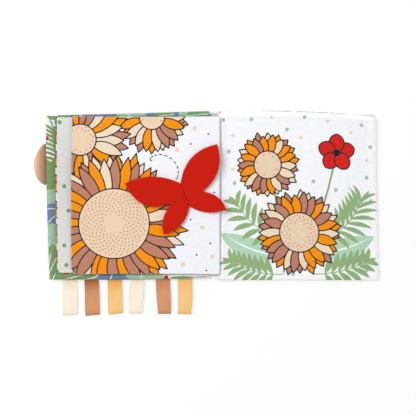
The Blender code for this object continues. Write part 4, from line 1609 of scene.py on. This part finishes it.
# %% [markdown]
# ## Floor, light and camera
# The photograph is a cut-out on white, lit by a broad soft light from the upper left. So the floor
# is white, and much of what the camera sees of it is its own even glow: 62% near the book, rising
# to all of it farther away, which keeps the object's soft shadow and no edge. The camera looks
# straight down through a long lens.

# %% Stage

FLOOR_SIZE = 40.0
GLOW_NEAR = 0.35
GLOW_FAR = 1.5
GLOW_SHARE = 0.62
ROOM_LIGHT = 0.55
FRAME_SPAN = 0.4285
LENS = 110
SENSOR = 36.0
PICTURE_MIDDLE = (-0.01185, -0.01185)


def floor_finish():
    values = {"Base Color": linear("#FFFFFF"), "Roughness": 1.0, "Specular IOR Level": 0.0}
    material, tree, shader, place = start_material("white_paper", values, "Object")
    glow = add(tree, "Emission", {"Color": (1, 1, 1, 1), "Strength": 1.0})
    seen = add(tree, "LightPath", output="Is Camera Ray")
    for ray in ("Is Glossy Ray", "Is Transmission Ray"):
        this_ray = add(tree, "LightPath", output=ray)
        seen = add(tree, "Math", {0: seen, 1: this_ray}, operation="MAXIMUM")
    away = add(tree, "VectorMath", {0: place}, "Value", operation="LENGTH")
    share = add(tree, "MapRange", {0: away, 1: GLOW_NEAR, 2: GLOW_FAR, 3: GLOW_SHARE, 4: 1.0})
    part = add(tree, "Math", {0: seen, 1: share}, operation="MULTIPLY")
    both = add(tree, "MixShader", {0: part, 1: shader.outputs[0], 2: glow})
    tree.links.new(both, tree.nodes["Material Output"].inputs["Surface"])
    return material


def area_light(name, place, size, power):
    bpy.ops.object.light_add(type="AREA", location=place)
    lamp = bpy.context.object
    lamp.name = name
    lamp.data.size = size
    lamp.data.energy = power
    lamp.rotation_euler = (-lamp.location).to_track_quat("-Z", "Y").to_euler()


add_plane = bpy.ops.mesh.primitive_plane_add
floor = start_piece("floor", add_plane, size=FLOOR_SIZE, location=(0, 0, -0.1 * MM))
dress(floor_finish(), floor)

world = bpy.data.worlds.new("soft_room")
bpy.context.scene.world = world
world.use_nodes = True
room = world.node_tree.nodes["Background"]
room.inputs["Color"].default_value = linear("#FFFFFF")
camera_ray = add(world.node_tree, "LightPath", output="Is Camera Ray")
level = add(world.node_tree, "MapRange", {0: camera_ray, 3: ROOM_LIGHT, 4: 1.0})
world.node_tree.links.new(level, room.inputs["Strength"])
area_light("key_light", (-0.85, 0.5, 1.2), 0.8, 13.5)
area_light("fill_light", (0.9, -0.1, 1.3), 1.2, 3.0)

bpy.ops.object.camera_add(location=(*PICTURE_MIDDLE, FRAME_SPAN * LENS / SENSOR))
camera = bpy.context.object
camera.data.lens = LENS
camera.data.sensor_width = SENSOR
bpy.context.scene.camera = camera
bpy.context.scene.view_settings.view_transform = "Standard"
print("camera height in m:", round(camera.location.z, 3))
